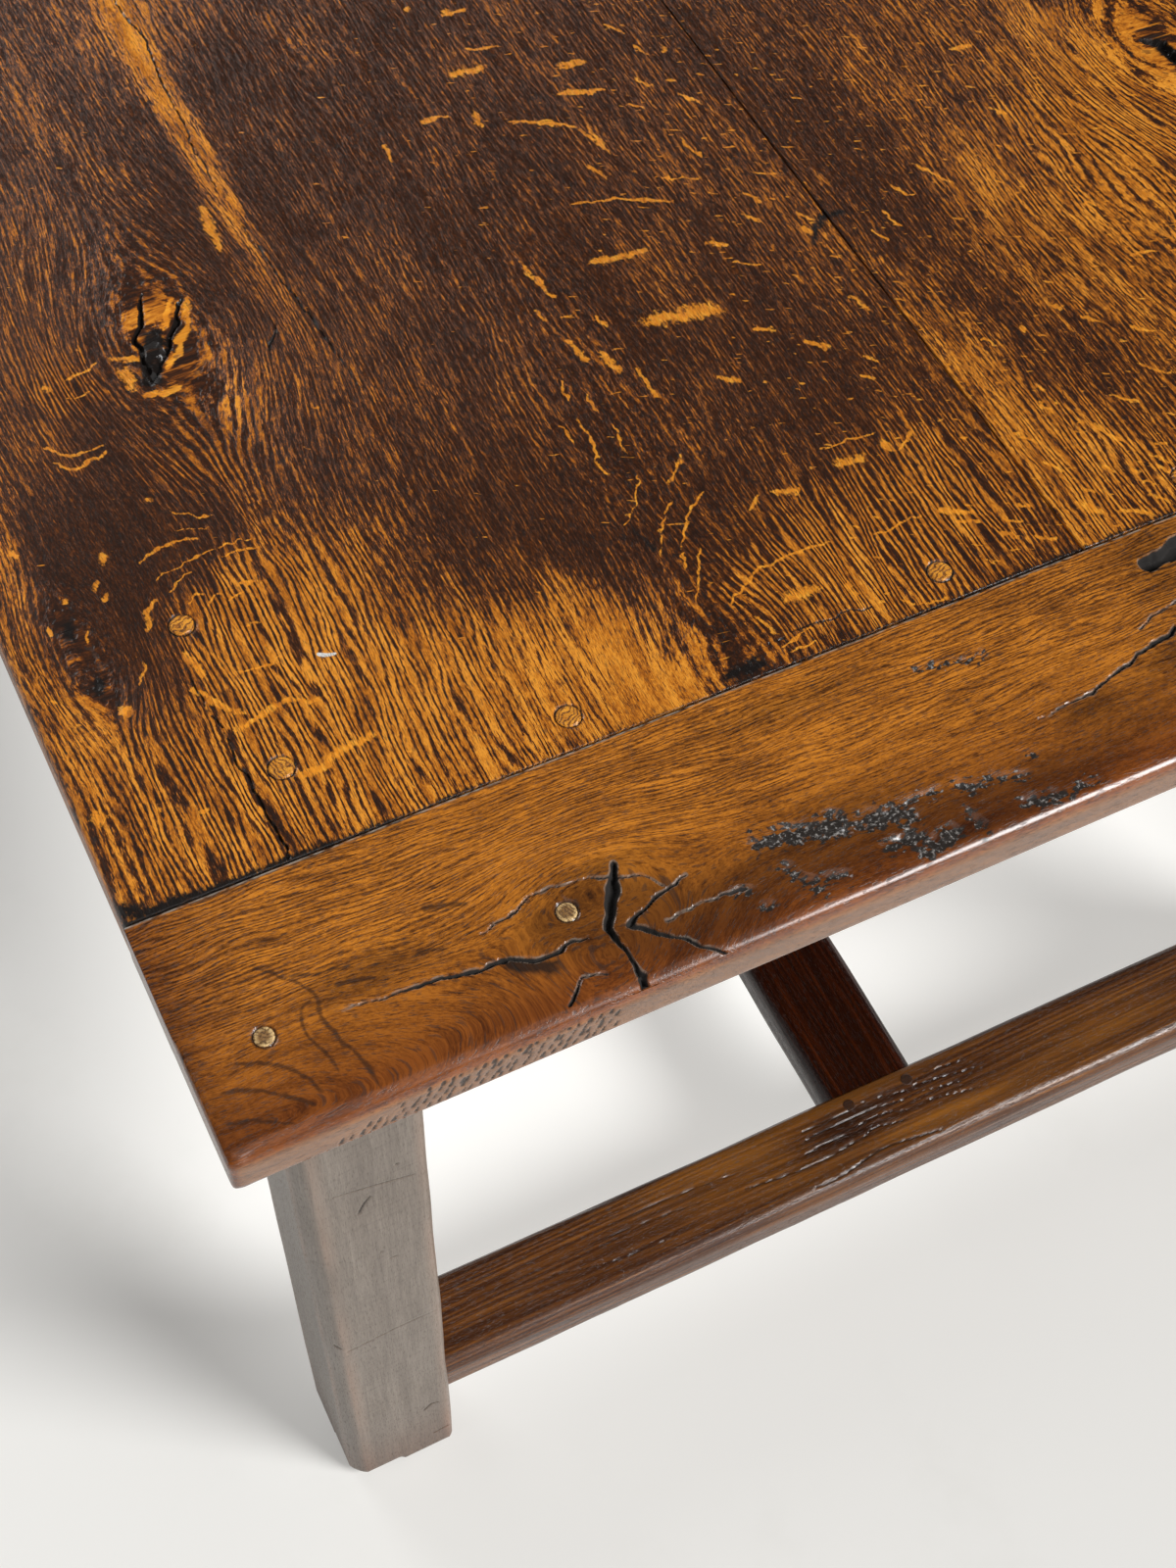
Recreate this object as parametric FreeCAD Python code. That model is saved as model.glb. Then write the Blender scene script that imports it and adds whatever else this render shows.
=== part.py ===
import FreeCAD, Part
import os

# An oak farmhouse table. Two wide planks and two breadboard ends make the top. It is pegged to a
# frame of four square legs, four rails and two cross bearers, with a low H of stretchers below.
# X runs across the table, Y along it and Z up, from the floor under the middle of the top.
# Most pieces are drawn once, at the near left corner (low X, low Y), and mirrored to the others.

# Overall sizes
TABLE_LENGTH = 2000.0
TABLE_WIDTH = 940.0
TABLE_HEIGHT = 760.0

# Top
TOP_THICKNESS = 27.0
BREADBOARD_WIDTH = 120.0
TOP_SEAM = 0.4
TOP_EDGE_RADIUS = 4.0
TOP_CORNER_RADIUS = 9.0

# Tongue and tenons on the plank ends, and the loose tongue between the planks
TONGUE_THICKNESS = 9.0
TONGUE_LENGTH = 18.0
TONGUE_STOP = 12.0
PLANK_TENON_COVER = 36.0
PLANK_TENON_WIDTH = 44.0
LOOSE_TONGUE_WIDTH = 24.0
LOOSE_TONGUE_STOP = 60.0

# Legs
LEG_SIDE = 75.0
LEG_SIDE_INSET = 43.0
LEG_END_INSET = 100.0
LEG_OUTER_CHAMFER = 10.0
LEG_INNER_CHAMFER = 4.0
FOOT_CHAMFER = 3.0

# Rails under the top, centred on the legs
RAIL_DEPTH = 110.0
RAIL_THICKNESS = 30.0
RAIL_EDGE_RADIUS = 2.0
RAIL_TENON_THICKNESS = 12.0
RAIL_TENON_HAUNCH = 22.0
RAIL_TENON_SHOULDER = 12.0

# Cross bearers between the side rails
BEARER_DEPTH = 60.0
BEARER_THICKNESS = 44.0
BEARER_OFFSET_SHARE = 0.29
BEARER_TENON_LENGTH = 18.0
BEARER_TENON_THICKNESS = 14.0
BEARER_TENON_SHOULDER = 10.0

# End stretchers
STRETCHER_BOTTOM = 82.0
STRETCHER_HEIGHT = 40.0
STRETCHER_SETBACK = 5.0
STRETCHER_EDGE_RADIUS = 6.0
STRETCHER_TENON_LENGTH = 46.0
STRETCHER_TENON_THICKNESS = 16.0
STRETCHER_TENON_SHOULDER = 5.0

# Centre stretcher
CENTRE_STRETCHER_WIDTH = 71.0
CENTRE_STRETCHER_HEIGHT = 34.0
CENTRE_STRETCHER_DROP = 4.0
CENTRE_STRETCHER_EDGE_RADIUS = 3.0
CENTRE_TENON_LENGTH = 40.0
CENTRE_TENON_THICKNESS = 14.0
CENTRE_TENON_SHOULDER = 3.5

# Pegs that hold the top down
TOP_PEG_RADIUS = 6.0
TOP_PEG_REACH = 40.0
END_RAIL_PEG_SHARES = (0.453, 0.857)
SIDE_RAIL_PEG_END_INSET = 257.0
SIDE_RAIL_PEG_COUNT = 5
SIDE_RAIL_PEG_SHIFT = 3.0
LEG_PEG_REACH = 17.0
LEG_PEG_ACROSS = 29.0
LEG_PEG_ALONG = 9.0
BEARER_PEG_SHARES = (0.3, 0.85)

# Pegs that lock the breadboards and the frame joints
BREADBOARD_PEG_RADIUS = 4.7
BREADBOARD_PEG_INSET = 48.0
BREADBOARD_OUTER_PEG_PLACE = 34.0
BREADBOARD_INNER_PEG_PLACE = 169.0
JOINT_PEG_RADIUS = 4.5
JOINT_PEG_COVER = 18.0
RAIL_PEG_SPACING_SHARE = 0.52
RAIL_PEG_STAGGER_SHARE = 0.18
CENTRE_PEG_SPREAD_SHARE = 0.65
CENTRE_PEG_INSET = 13.0

# Fits
TENON_CLEARANCE = 0.3
TENON_END_GAP = 1.5
MOVEMENT_GAP = 1.0
PEG_CLEARANCE = 0.15
CUT_OVERRUN = 5.0
SAME_PLACE = 1e-6

# Places that follow from the sizes above, all at the near left corner
BREADBOARD_PEG_PLACES = (BREADBOARD_OUTER_PEG_PLACE, BREADBOARD_INNER_PEG_PLACE)
END_Y = -TABLE_LENGTH / 2
SIDE_X = -TABLE_WIDTH / 2
SHOULDER_Y = END_Y + BREADBOARD_WIDTH
PLANK_END_Y = SHOULDER_Y + TOP_SEAM / 2
BREADBOARD_INNER_Y = SHOULDER_Y - TOP_SEAM / 2
UNDERSIDE_Z = TABLE_HEIGHT - TOP_THICKNESS
LEG_X = SIDE_X + LEG_SIDE_INSET
LEG_Y = END_Y + LEG_END_INSET
LEG_INNER_X = LEG_X + LEG_SIDE
LEG_INNER_Y = LEG_Y + LEG_SIDE
LEG_CENTRE_X = LEG_X + LEG_SIDE / 2
LEG_CENTRE_Y = LEG_Y + LEG_SIDE / 2
RAIL_BOTTOM = UNDERSIDE_Z - RAIL_DEPTH
RAIL_INNER_X = LEG_CENTRE_X + RAIL_THICKNESS / 2
RAIL_TENON_LENGTH = LEG_SIDE / 2 - RAIL_TENON_THICKNESS / 2 - TENON_END_GAP
BEARER_BOTTOM = UNDERSIDE_Z - BEARER_DEPTH
BEARER_Y = BEARER_OFFSET_SHARE * END_Y
STRETCHER_TOP = STRETCHER_BOTTOM + STRETCHER_HEIGHT
STRETCHER_NEAR_Y = LEG_Y + STRETCHER_SETBACK
STRETCHER_FAR_Y = LEG_INNER_Y - STRETCHER_SETBACK
CENTRE_STRETCHER_TOP = STRETCHER_TOP - CENTRE_STRETCHER_DROP
CENTRE_STRETCHER_BOTTOM = CENTRE_STRETCHER_TOP - CENTRE_STRETCHER_HEIGHT

ACROSS = FreeCAD.Vector(1, 0, 0)
ALONG = FreeCAD.Vector(0, 1, 0)
UP = FreeCAD.Vector(0, 0, 1)
ORIGIN = FreeCAD.Vector(0, 0, 0)


def about(middle, size):
    """A (low, high) span of a given size about its middle."""
    return (middle - size / 2, middle + size / 2)


def mirrored(span_start):
    """A (low, high) span that runs from a place on the low side to its mirror image."""
    return (span_start, -span_start)


def block(spans):
    """A box from its spans in X, Y and Z."""
    low = FreeCAD.Vector(*[span[0] for span in spans])
    sizes = [span[1] - span[0] for span in spans]
    return Part.makeBox(*sizes, low)


def pocket(spans, gaps):
    """The box that a tongue or tenon fits into, with a gap all round in X, Y and Z."""
    return block([(span[0] - gap, span[1] + gap) for span, gap in zip(spans, gaps)])


def mortise(spans):
    """The mortise for a tenon that isn't meant to move."""
    return pocket(spans, [TENON_CLEARANCE] * len(spans))


def across(shape):
    """The same shape on the other side of the table."""
    return shape.mirror(ORIGIN, ACROSS)


def along(shape):
    """The same shape at the other end of the table."""
    return shape.mirror(ORIGIN, ALONG)


def joined(shapes):
    """The parts of one timber as one solid."""
    return shapes[0].fuse(shapes[1:]).removeSplitter()


def rounded(shape, radius, wanted):
    """Rounds the edges that a test picks."""
    return shape.makeFillet(radius, [edge for edge in shape.Edges if wanted(edge)])


def runs(edge, axis):
    """Whether an edge is a straight one along an axis."""
    straight = isinstance(edge.Curve, Part.Line)
    return straight and edge.tangentAt(edge.FirstParameter).cross(axis).Length < SAME_PLACE


class Peg:
    """A round peg and its hole, from the middle of its head along a direction."""

    def __init__(self, head, direction, radius, length):
        self.head = head
        self.direction = direction
        self.radius = radius
        self.length = length

    def solid(self):
        return Part.makeCylinder(self.radius, self.length, self.head, self.direction)

    def hole(self):
        start = self.head - self.direction * CUT_OVERRUN
        depth = CUT_OVERRUN + self.length + TENON_END_GAP
        return Part.makeCylinder(self.radius + PEG_CLEARANCE, depth, start, self.direction)

    def flipped(self, axis):
        head = self.head - axis * (2 * self.head.dot(axis))
        direction = self.direction - axis * (2 * self.direction.dot(axis))
        return Peg(head, direction, self.radius, self.length)


def flip(pegs, axis):
    return [peg.flipped(axis) for peg in pegs]


def both_sides(pegs):
    return pegs + flip(pegs, ACROSS)


def top_peg(x, y, radius, length):
    """A peg driven down into the top, flush with it."""
    return Peg(FreeCAD.Vector(x, y, TABLE_HEIGHT), -UP, radius, length)


# Tongues and tenons at the near left corner, as spans in X, Y and Z

TONGUE_HEIGHTS = about(TABLE_HEIGHT - TOP_THICKNESS / 2, TONGUE_THICKNESS)
PLANK_TONGUE = (
    (SIDE_X + TONGUE_STOP, -TOP_SEAM / 2),
    (SHOULDER_Y - TONGUE_LENGTH, PLANK_END_Y),
    TONGUE_HEIGHTS,
)
PLANK_TENONS = [
    (about(SIDE_X + place, PLANK_TENON_WIDTH), (END_Y + PLANK_TENON_COVER, PLANK_END_Y), TONGUE_HEIGHTS)
    for place in BREADBOARD_PEG_PLACES
]
LOOSE_TONGUE = (
    about(0, LOOSE_TONGUE_WIDTH),
    mirrored(PLANK_END_Y + LOOSE_TONGUE_STOP),
    TONGUE_HEIGHTS,
)
RAIL_TENON_HEIGHTS = (RAIL_BOTTOM + RAIL_TENON_SHOULDER, UNDERSIDE_Z - RAIL_TENON_HAUNCH)
END_RAIL_TENON = (
    (LEG_INNER_X - RAIL_TENON_LENGTH, LEG_INNER_X),
    about(LEG_CENTRE_Y, RAIL_TENON_THICKNESS),
    RAIL_TENON_HEIGHTS,
)
SIDE_RAIL_TENON = (
    about(LEG_CENTRE_X, RAIL_TENON_THICKNESS),
    (LEG_INNER_Y - RAIL_TENON_LENGTH, LEG_INNER_Y),
    RAIL_TENON_HEIGHTS,
)
BEARER_TENON = (
    (RAIL_INNER_X - BEARER_TENON_LENGTH, RAIL_INNER_X),
    about(BEARER_Y, BEARER_TENON_THICKNESS),
    (BEARER_BOTTOM + BEARER_TENON_SHOULDER, UNDERSIDE_Z - BEARER_TENON_SHOULDER),
)
STRETCHER_TENON = (
    (LEG_INNER_X - STRETCHER_TENON_LENGTH, LEG_INNER_X),
    about(LEG_CENTRE_Y, STRETCHER_TENON_THICKNESS),
    (STRETCHER_BOTTOM + STRETCHER_TENON_SHOULDER, STRETCHER_TOP - STRETCHER_TENON_SHOULDER),
)
CENTRE_TENON = (
    about(0, CENTRE_STRETCHER_WIDTH - 2 * CENTRE_TENON_SHOULDER),
    (STRETCHER_FAR_Y - CENTRE_TENON_LENGTH, STRETCHER_FAR_Y),
    about((CENTRE_STRETCHER_BOTTOM + CENTRE_STRETCHER_TOP) / 2, CENTRE_TENON_THICKNESS),
)


# Pegs, first at the near left corner

def breadboard_pegs():
    """They go through the breadboard and the plank tenons inside it."""
    y = END_Y + BREADBOARD_PEG_INSET
    places = [SIDE_X + place for place in BREADBOARD_PEG_PLACES]
    return [top_peg(x, y, BREADBOARD_PEG_RADIUS, TOP_THICKNESS) for x in places]


def end_rail_top_pegs():
    """They hold a plank down on the end rail."""
    places = [SIDE_X * (1 - share) for share in END_RAIL_PEG_SHARES]
    return [top_peg(x, LEG_CENTRE_Y, TOP_PEG_RADIUS, TOP_THICKNESS + TOP_PEG_REACH) for x in places]


def side_rail_top_pegs():
    """They hold a plank down along the whole side rail."""
    first = END_Y + SIDE_RAIL_PEG_END_INSET
    step = -2 * first / (SIDE_RAIL_PEG_COUNT - 1)
    x = LEG_CENTRE_X - SIDE_RAIL_PEG_SHIFT
    places = [first + step * number for number in range(SIDE_RAIL_PEG_COUNT)]
    return [top_peg(x, y, TOP_PEG_RADIUS, TOP_THICKNESS + TOP_PEG_REACH) for y in places]


def leg_top_pegs():
    """One stops in the top of the leg, above the rail tenons."""
    x = LEG_INNER_X - LEG_PEG_ACROSS
    y = LEG_INNER_Y - LEG_PEG_ALONG
    return [top_peg(x, y, TOP_PEG_RADIUS, TOP_THICKNESS + LEG_PEG_REACH)]


def bearer_top_pegs():
    """They hold a plank down on a cross bearer."""
    places = [RAIL_INNER_X * share for share in BEARER_PEG_SHARES]
    return [top_peg(x, BEARER_Y, TOP_PEG_RADIUS, TOP_THICKNESS + TOP_PEG_REACH) for x in places]


def rail_pegs():
    """Two lock each rail tenon in its leg. Those of the two rails pass at different heights."""
    length = LEG_SIDE - JOINT_PEG_COVER
    tenon_height = RAIL_TENON_HEIGHTS[1] - RAIL_TENON_HEIGHTS[0]
    middle = (RAIL_TENON_HEIGHTS[0] + RAIL_TENON_HEIGHTS[1]) / 2
    stagger = tenon_height * RAIL_PEG_STAGGER_SHARE / 2
    pegs = []
    for offset in about(0, tenon_height * RAIL_PEG_SPACING_SHARE):
        end_head = FreeCAD.Vector(LEG_INNER_X - RAIL_TENON_LENGTH / 2, LEG_Y, middle + offset + stagger)
        side_head = FreeCAD.Vector(LEG_X, LEG_INNER_Y - RAIL_TENON_LENGTH / 2, middle + offset - stagger)
        pegs.append(Peg(end_head, ALONG, JOINT_PEG_RADIUS, length))
        pegs.append(Peg(side_head, ACROSS, JOINT_PEG_RADIUS, length))
    return pegs


def stretcher_pegs():
    """One locks the stretcher tenon from the inner face of the leg."""
    middle = STRETCHER_BOTTOM + STRETCHER_HEIGHT / 2
    head = FreeCAD.Vector(LEG_INNER_X - STRETCHER_TENON_LENGTH / 2, LEG_INNER_Y, middle)
    return [Peg(head, -ALONG, JOINT_PEG_RADIUS, LEG_SIDE - JOINT_PEG_COVER)]


def centre_stretcher_pegs():
    """One of the two that lock the centre stretcher, down through the end stretcher."""
    x = -CENTRE_PEG_SPREAD_SHARE * CENTRE_STRETCHER_WIDTH / 2
    head = FreeCAD.Vector(x, STRETCHER_FAR_Y - CENTRE_PEG_INSET, STRETCHER_TOP)
    return [Peg(head, -UP, JOINT_PEG_RADIUS, STRETCHER_HEIGHT)]


PEG_GROUPS = {
    "breadboard_pegs_near": both_sides(breadboard_pegs()),
    "breadboard_pegs_far": flip(both_sides(breadboard_pegs()), ALONG),
    "end_rail_top_pegs_near": both_sides(end_rail_top_pegs()),
    "end_rail_top_pegs_far": flip(both_sides(end_rail_top_pegs()), ALONG),
    "side_rail_top_pegs_left": side_rail_top_pegs(),
    "side_rail_top_pegs_right": flip(side_rail_top_pegs(), ACROSS),
    "leg_top_pegs_near": both_sides(leg_top_pegs()),
    "leg_top_pegs_far": flip(both_sides(leg_top_pegs()), ALONG),
    "bearer_top_pegs_near": both_sides(bearer_top_pegs()),
    "bearer_top_pegs_far": flip(both_sides(bearer_top_pegs()), ALONG),
    "rail_pegs_near_left": rail_pegs(),
    "rail_pegs_near_right": flip(rail_pegs(), ACROSS),
    "rail_pegs_far_left": flip(rail_pegs(), ALONG),
    "rail_pegs_far_right": flip(flip(rail_pegs(), ACROSS), ALONG),
    "stretcher_pegs_near": both_sides(stretcher_pegs()),
    "stretcher_pegs_far": flip(both_sides(stretcher_pegs()), ALONG),
    "centre_stretcher_pegs_near": both_sides(centre_stretcher_pegs()),
    "centre_stretcher_pegs_far": flip(both_sides(centre_stretcher_pegs()), ALONG),
}
HOLES = [peg.hole() for pegs in PEG_GROUPS.values() for peg in pegs]


def drilled(shape):
    """Drills a timber for every peg that passes through it."""
    passing = [hole for hole in HOLES if shape.BoundBox.intersect(hole.BoundBox)]
    return shape.cut(passing)


# Timbers

def plank_left():
    """A plank with a tongue and two tenons on each end, grooved along the middle of the table."""
    body = block([(SIDE_X, -TOP_SEAM / 2), mirrored(PLANK_END_Y), (UNDERSIDE_Z, TABLE_HEIGHT)])
    body = rounded(
        body,
        TOP_EDGE_RADIUS,
        lambda edge: runs(edge, ALONG) and abs(edge.CenterOfMass.x - SIDE_X) < SAME_PLACE,
    )
    near_end = [block(PLANK_TONGUE)] + [block(tenon) for tenon in PLANK_TENONS]
    far_end = [along(shape) for shape in near_end]
    groove = pocket(LOOSE_TONGUE, [TENON_CLEARANCE, TENON_END_GAP, TENON_CLEARANCE])
    return drilled(joined([body] + near_end + far_end).cut(groove))


def breadboard_near():
    """The end piece, grooved and mortised for the planks, with its outer edges rounded."""
    body = block([mirrored(SIDE_X), (END_Y, BREADBOARD_INNER_Y), (UNDERSIDE_Z, TABLE_HEIGHT)])
    body = rounded(
        body,
        TOP_CORNER_RADIUS,
        lambda edge: runs(edge, UP) and abs(edge.CenterOfMass.y - END_Y) < SAME_PLACE,
    )
    body = rounded(
        body,
        TOP_EDGE_RADIUS,
        lambda edge: not runs(edge, UP) and edge.CenterOfMass.y < BREADBOARD_INNER_Y - SAME_PLACE,
    )
    gaps = [MOVEMENT_GAP, TENON_END_GAP, TENON_CLEARANCE]
    left_pockets = [pocket(spans, gaps) for spans in [PLANK_TONGUE] + PLANK_TENONS]
    right_pockets = [across(shape) for shape in left_pockets]
    return drilled(body.cut(left_pockets + right_pockets))


def leg_near_left():
    """A square leg with a broad chamfer on its outer corner, mortised for two rails and a stretcher."""
    broad = LEG_OUTER_CHAMFER
    small = LEG_INNER_CHAMFER
    side = LEG_SIDE
    outline = [
        (broad, 0),
        (side - small, 0),
        (side, small),
        (side, side - small),
        (side - small, side),
        (small, side),
        (0, side - small),
        (0, broad),
    ]
    corners = [FreeCAD.Vector(LEG_X + x, LEG_Y + y, 0) for x, y in outline]
    section = Part.Face(Part.makePolygon(corners + corners[:1]))
    body = section.extrude(UP * UNDERSIDE_Z)
    foot_edges = [edge for edge in body.Edges if abs(edge.BoundBox.ZMax) < SAME_PLACE]
    body = body.makeChamfer(FOOT_CHAMFER, foot_edges)
    tenons = [END_RAIL_TENON, SIDE_RAIL_TENON, STRETCHER_TENON]
    return drilled(body.cut([mortise(tenon) for tenon in tenons]))


def end_rail_near():
    """The rail between two legs at an end, with its lower edges eased."""
    body = block([mirrored(LEG_INNER_X), about(LEG_CENTRE_Y, RAIL_THICKNESS), (RAIL_BOTTOM, UNDERSIDE_Z)])
    body = rounded(
        body,
        RAIL_EDGE_RADIUS,
        lambda edge: runs(edge, ACROSS) and abs(edge.CenterOfMass.z - RAIL_BOTTOM) < SAME_PLACE,
    )
    tenon = block(END_RAIL_TENON)
    return drilled(joined([body, tenon, across(tenon)]))


def side_rail_left():
    """The rail between two legs along a side, mortised for the cross bearers."""
    body = block([about(LEG_CENTRE_X, RAIL_THICKNESS), mirrored(LEG_INNER_Y), (RAIL_BOTTOM, UNDERSIDE_Z)])
    body = rounded(
        body,
        RAIL_EDGE_RADIUS,
        lambda edge: runs(edge, ALONG) and abs(edge.CenterOfMass.z - RAIL_BOTTOM) < SAME_PLACE,
    )
    tenon = block(SIDE_RAIL_TENON)
    bearer_mortise = mortise(BEARER_TENON)
    rail = joined([body, tenon, along(tenon)])
    return drilled(rail.cut([bearer_mortise, along(bearer_mortise)]))


def cross_bearer_near():
    """The bearer under the planks, with a stub tenon in each side rail."""
    body = block([mirrored(RAIL_INNER_X), about(BEARER_Y, BEARER_THICKNESS), (BEARER_BOTTOM, UNDERSIDE_Z)])
    tenon = block(BEARER_TENON)
    return drilled(joined([body, tenon, across(tenon)]))


def end_stretcher_near():
    """The low stretcher between two legs, rounded by wear and mortised for the centre stretcher."""
    body = block(
        [mirrored(LEG_INNER_X), (STRETCHER_NEAR_Y, STRETCHER_FAR_Y), (STRETCHER_BOTTOM, STRETCHER_TOP)]
    )
    body = rounded(body, STRETCHER_EDGE_RADIUS, lambda edge: runs(edge, ACROSS))
    tenon = block(STRETCHER_TENON)
    stretcher = joined([body, tenon, across(tenon)])
    return drilled(stretcher.cut(mortise(CENTRE_TENON)))


def centre_stretcher():
    """The long stretcher between the two end stretchers."""
    body = block(
        [
            about(0, CENTRE_STRETCHER_WIDTH),
            mirrored(STRETCHER_FAR_Y),
            (CENTRE_STRETCHER_BOTTOM, CENTRE_STRETCHER_TOP),
        ]
    )
    body = rounded(body, CENTRE_STRETCHER_EDGE_RADIUS, lambda edge: runs(edge, ALONG))
    tenon = block(CENTRE_TENON)
    return drilled(joined([body, tenon, along(tenon)]))


leg = leg_near_left()
nodes = {
    "plank_left": plank_left(),
    "plank_right": across(plank_left()),
    "plank_loose_tongue": block(LOOSE_TONGUE),
    "breadboard_near": breadboard_near(),
    "breadboard_far": along(breadboard_near()),
    "leg_near_left": leg,
    "leg_near_right": across(leg),
    "leg_far_left": along(leg),
    "leg_far_right": along(across(leg)),
    "end_rail_near": end_rail_near(),
    "end_rail_far": along(end_rail_near()),
    "side_rail_left": side_rail_left(),
    "side_rail_right": across(side_rail_left()),
    "cross_bearer_near": cross_bearer_near(),
    "cross_bearer_far": along(cross_bearer_near()),
    "end_stretcher_near": end_stretcher_near(),
    "end_stretcher_far": along(end_stretcher_near()),
    "centre_stretcher": centre_stretcher(),
}
for name, pegs in PEG_GROUPS.items():
    nodes[name] = Part.makeCompound([peg.solid() for peg in pegs])

os.makedirs("parts", exist_ok=True)
for name, shape in nodes.items():
    shape.exportStep("parts/" + name + ".step")
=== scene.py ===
import math
from itertools import product

import bpy
import numpy as np
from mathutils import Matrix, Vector


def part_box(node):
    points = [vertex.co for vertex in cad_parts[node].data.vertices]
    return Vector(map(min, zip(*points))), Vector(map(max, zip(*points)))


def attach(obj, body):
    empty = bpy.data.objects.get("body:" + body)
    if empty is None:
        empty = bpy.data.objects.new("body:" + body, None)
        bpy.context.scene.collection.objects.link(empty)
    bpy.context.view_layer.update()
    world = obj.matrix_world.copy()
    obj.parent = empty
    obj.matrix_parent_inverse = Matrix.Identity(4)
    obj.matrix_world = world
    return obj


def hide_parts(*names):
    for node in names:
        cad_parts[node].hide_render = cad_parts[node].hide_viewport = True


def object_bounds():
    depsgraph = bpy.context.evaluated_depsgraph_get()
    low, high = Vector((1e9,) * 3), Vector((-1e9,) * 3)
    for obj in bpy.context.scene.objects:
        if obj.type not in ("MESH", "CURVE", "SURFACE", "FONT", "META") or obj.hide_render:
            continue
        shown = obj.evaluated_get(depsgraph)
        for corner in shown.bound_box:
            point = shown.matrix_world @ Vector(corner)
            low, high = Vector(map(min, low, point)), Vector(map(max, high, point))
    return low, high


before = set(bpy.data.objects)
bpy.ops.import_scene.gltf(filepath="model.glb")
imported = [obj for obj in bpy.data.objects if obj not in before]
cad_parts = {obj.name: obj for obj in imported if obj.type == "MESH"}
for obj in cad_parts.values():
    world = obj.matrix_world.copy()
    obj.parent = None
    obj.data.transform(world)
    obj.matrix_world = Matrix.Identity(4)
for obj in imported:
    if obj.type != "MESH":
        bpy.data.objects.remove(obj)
cad_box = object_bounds()

# The place it stands: a pale painted floor under wide soft lamps, in a dim room with a pale backdrop.
# The camera is held at standing height and looks down on the near left corner of the top.
# The floor also glows a little to the camera, so that it stays pale; under the top it glows more, a painted
# pool of light that lifts the shade the top casts there.
FLOOR_SIZE = 40.0
FLOOR_COLOUR = (0.84, 0.83, 0.80)
FLOOR_SCUFF_COLOUR = (0.79, 0.78, 0.745)
FLOOR_SCUFFS_PER_METRE = 5.0
FLOOR_ROUGHNESS = 0.55
FLOOR_GLOW = 0.80
FLOOR_GLOW_SHARE = 0.30
FLOOR_PAINTED_LIGHT_UNDER_TOP = 1.20
# Where the painted light under the top begins and is full, from the middle of the table across and along.
GLOW_ACROSS = (0.52, 0.34)
GLOW_ALONG = (0.93, 0.78)
CAMERA_PLACE = (-0.5245, -1.3944, 1.6070)
CAMERA_AIM = (-0.2651, -0.8987, 0.7600)
CAMERA_ROLL = math.radians(1.88)
CAMERA_LENS_MM = 54.07
DAYLIGHT_FROM = (0.495, -0.554, 0.669)
DAYLIGHT_SOFTNESS = math.radians(24)
DAYLIGHT_STRENGTH = 3.6
# Lamps: place, aim, width in metres, power in watts.
LAMPS = {
    "lamp_overhead": ((-0.3, -1.2, 3.7), (-0.1, -0.6, 0.5), 2.0, 8),
    "lamp_far_left": ((-1.3, 2.6, 2.7), (-0.1, -0.6, 0.5), 1.5, 36),
    "lamp_left": ((-2.6, -0.7, 0.90), (-0.4, -0.9, 0.2), 1.6, 12),
    "lamp_near": ((0.6, -3.2, 0.90), (0.0, -0.9, 0.4), 1.6, 12),
}
ROOM_COLOUR = (0.95, 0.97, 1.0)
ROOM_STRENGTH = 0.06
BACKDROP_STRENGTH = 0.80


def node(tree, kind, inputs=None, **options):
    """Adds a shader node, sets its options, and fills or links its inputs by name or number."""
    made = tree.nodes.new("ShaderNode" + kind)
    for option, value in options.items():
        setattr(made, option, value)
    for key, value in (inputs or {}).items():
        if isinstance(value, bpy.types.NodeSocket):
            tree.links.new(value, made.inputs[key])
        else:
            made.inputs[key].default_value = value
    return made


def calc(tree, operation, *values):
    """The result of a math node."""
    return node(tree, "Math", dict(enumerate(values)), operation=operation).outputs[0]


def noise_at(tree, vector, detail=2.0, roughness=0.5, distortion=0.0, scale=1.0):
    """Smooth noise about 0.5 at a place."""
    inputs = {"Vector": vector, "Scale": scale, "Detail": detail}
    inputs.update({"Roughness": roughness, "Distortion": distortion})
    return node(tree, "TexNoise", inputs).outputs[0]


def fade(tree, value, start, end, low=0.0, high=1.0):
    """Takes a value from start to end softly over to low to high, and holds it beyond them."""
    inputs = {0: value, 1: start, 2: end, 3: low, 4: high}
    return node(tree, "MapRange", inputs, interpolation_type="SMOOTHSTEP").outputs[0]


def tint(tree, factor, first, second, blend="MIX"):
    """Mixes two colours, each a socket or three numbers."""
    colours = [c if isinstance(c, bpy.types.NodeSocket) else (*c, 1.0) for c in (first, second)]
    inputs = {0: factor, 6: colours[0], 7: colours[1]}
    return node(tree, "Mix", inputs, data_type="RGBA", blend_type=blend).outputs[2]


def new_material(name):
    """A material, its node tree and its surface shader."""
    made = bpy.data.materials.new(name)
    made.use_nodes = True
    return made, made.node_tree, made.node_tree.nodes["Principled BSDF"]


def aim(thing, target, roll=0.0):
    """Turns a camera or a lamp towards a point."""
    thing.rotation_euler = (Vector(target) - thing.location).to_track_quat("-Z", "Y").to_euler()
    thing.rotation_euler.rotate_axis("Z", roll)


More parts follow.
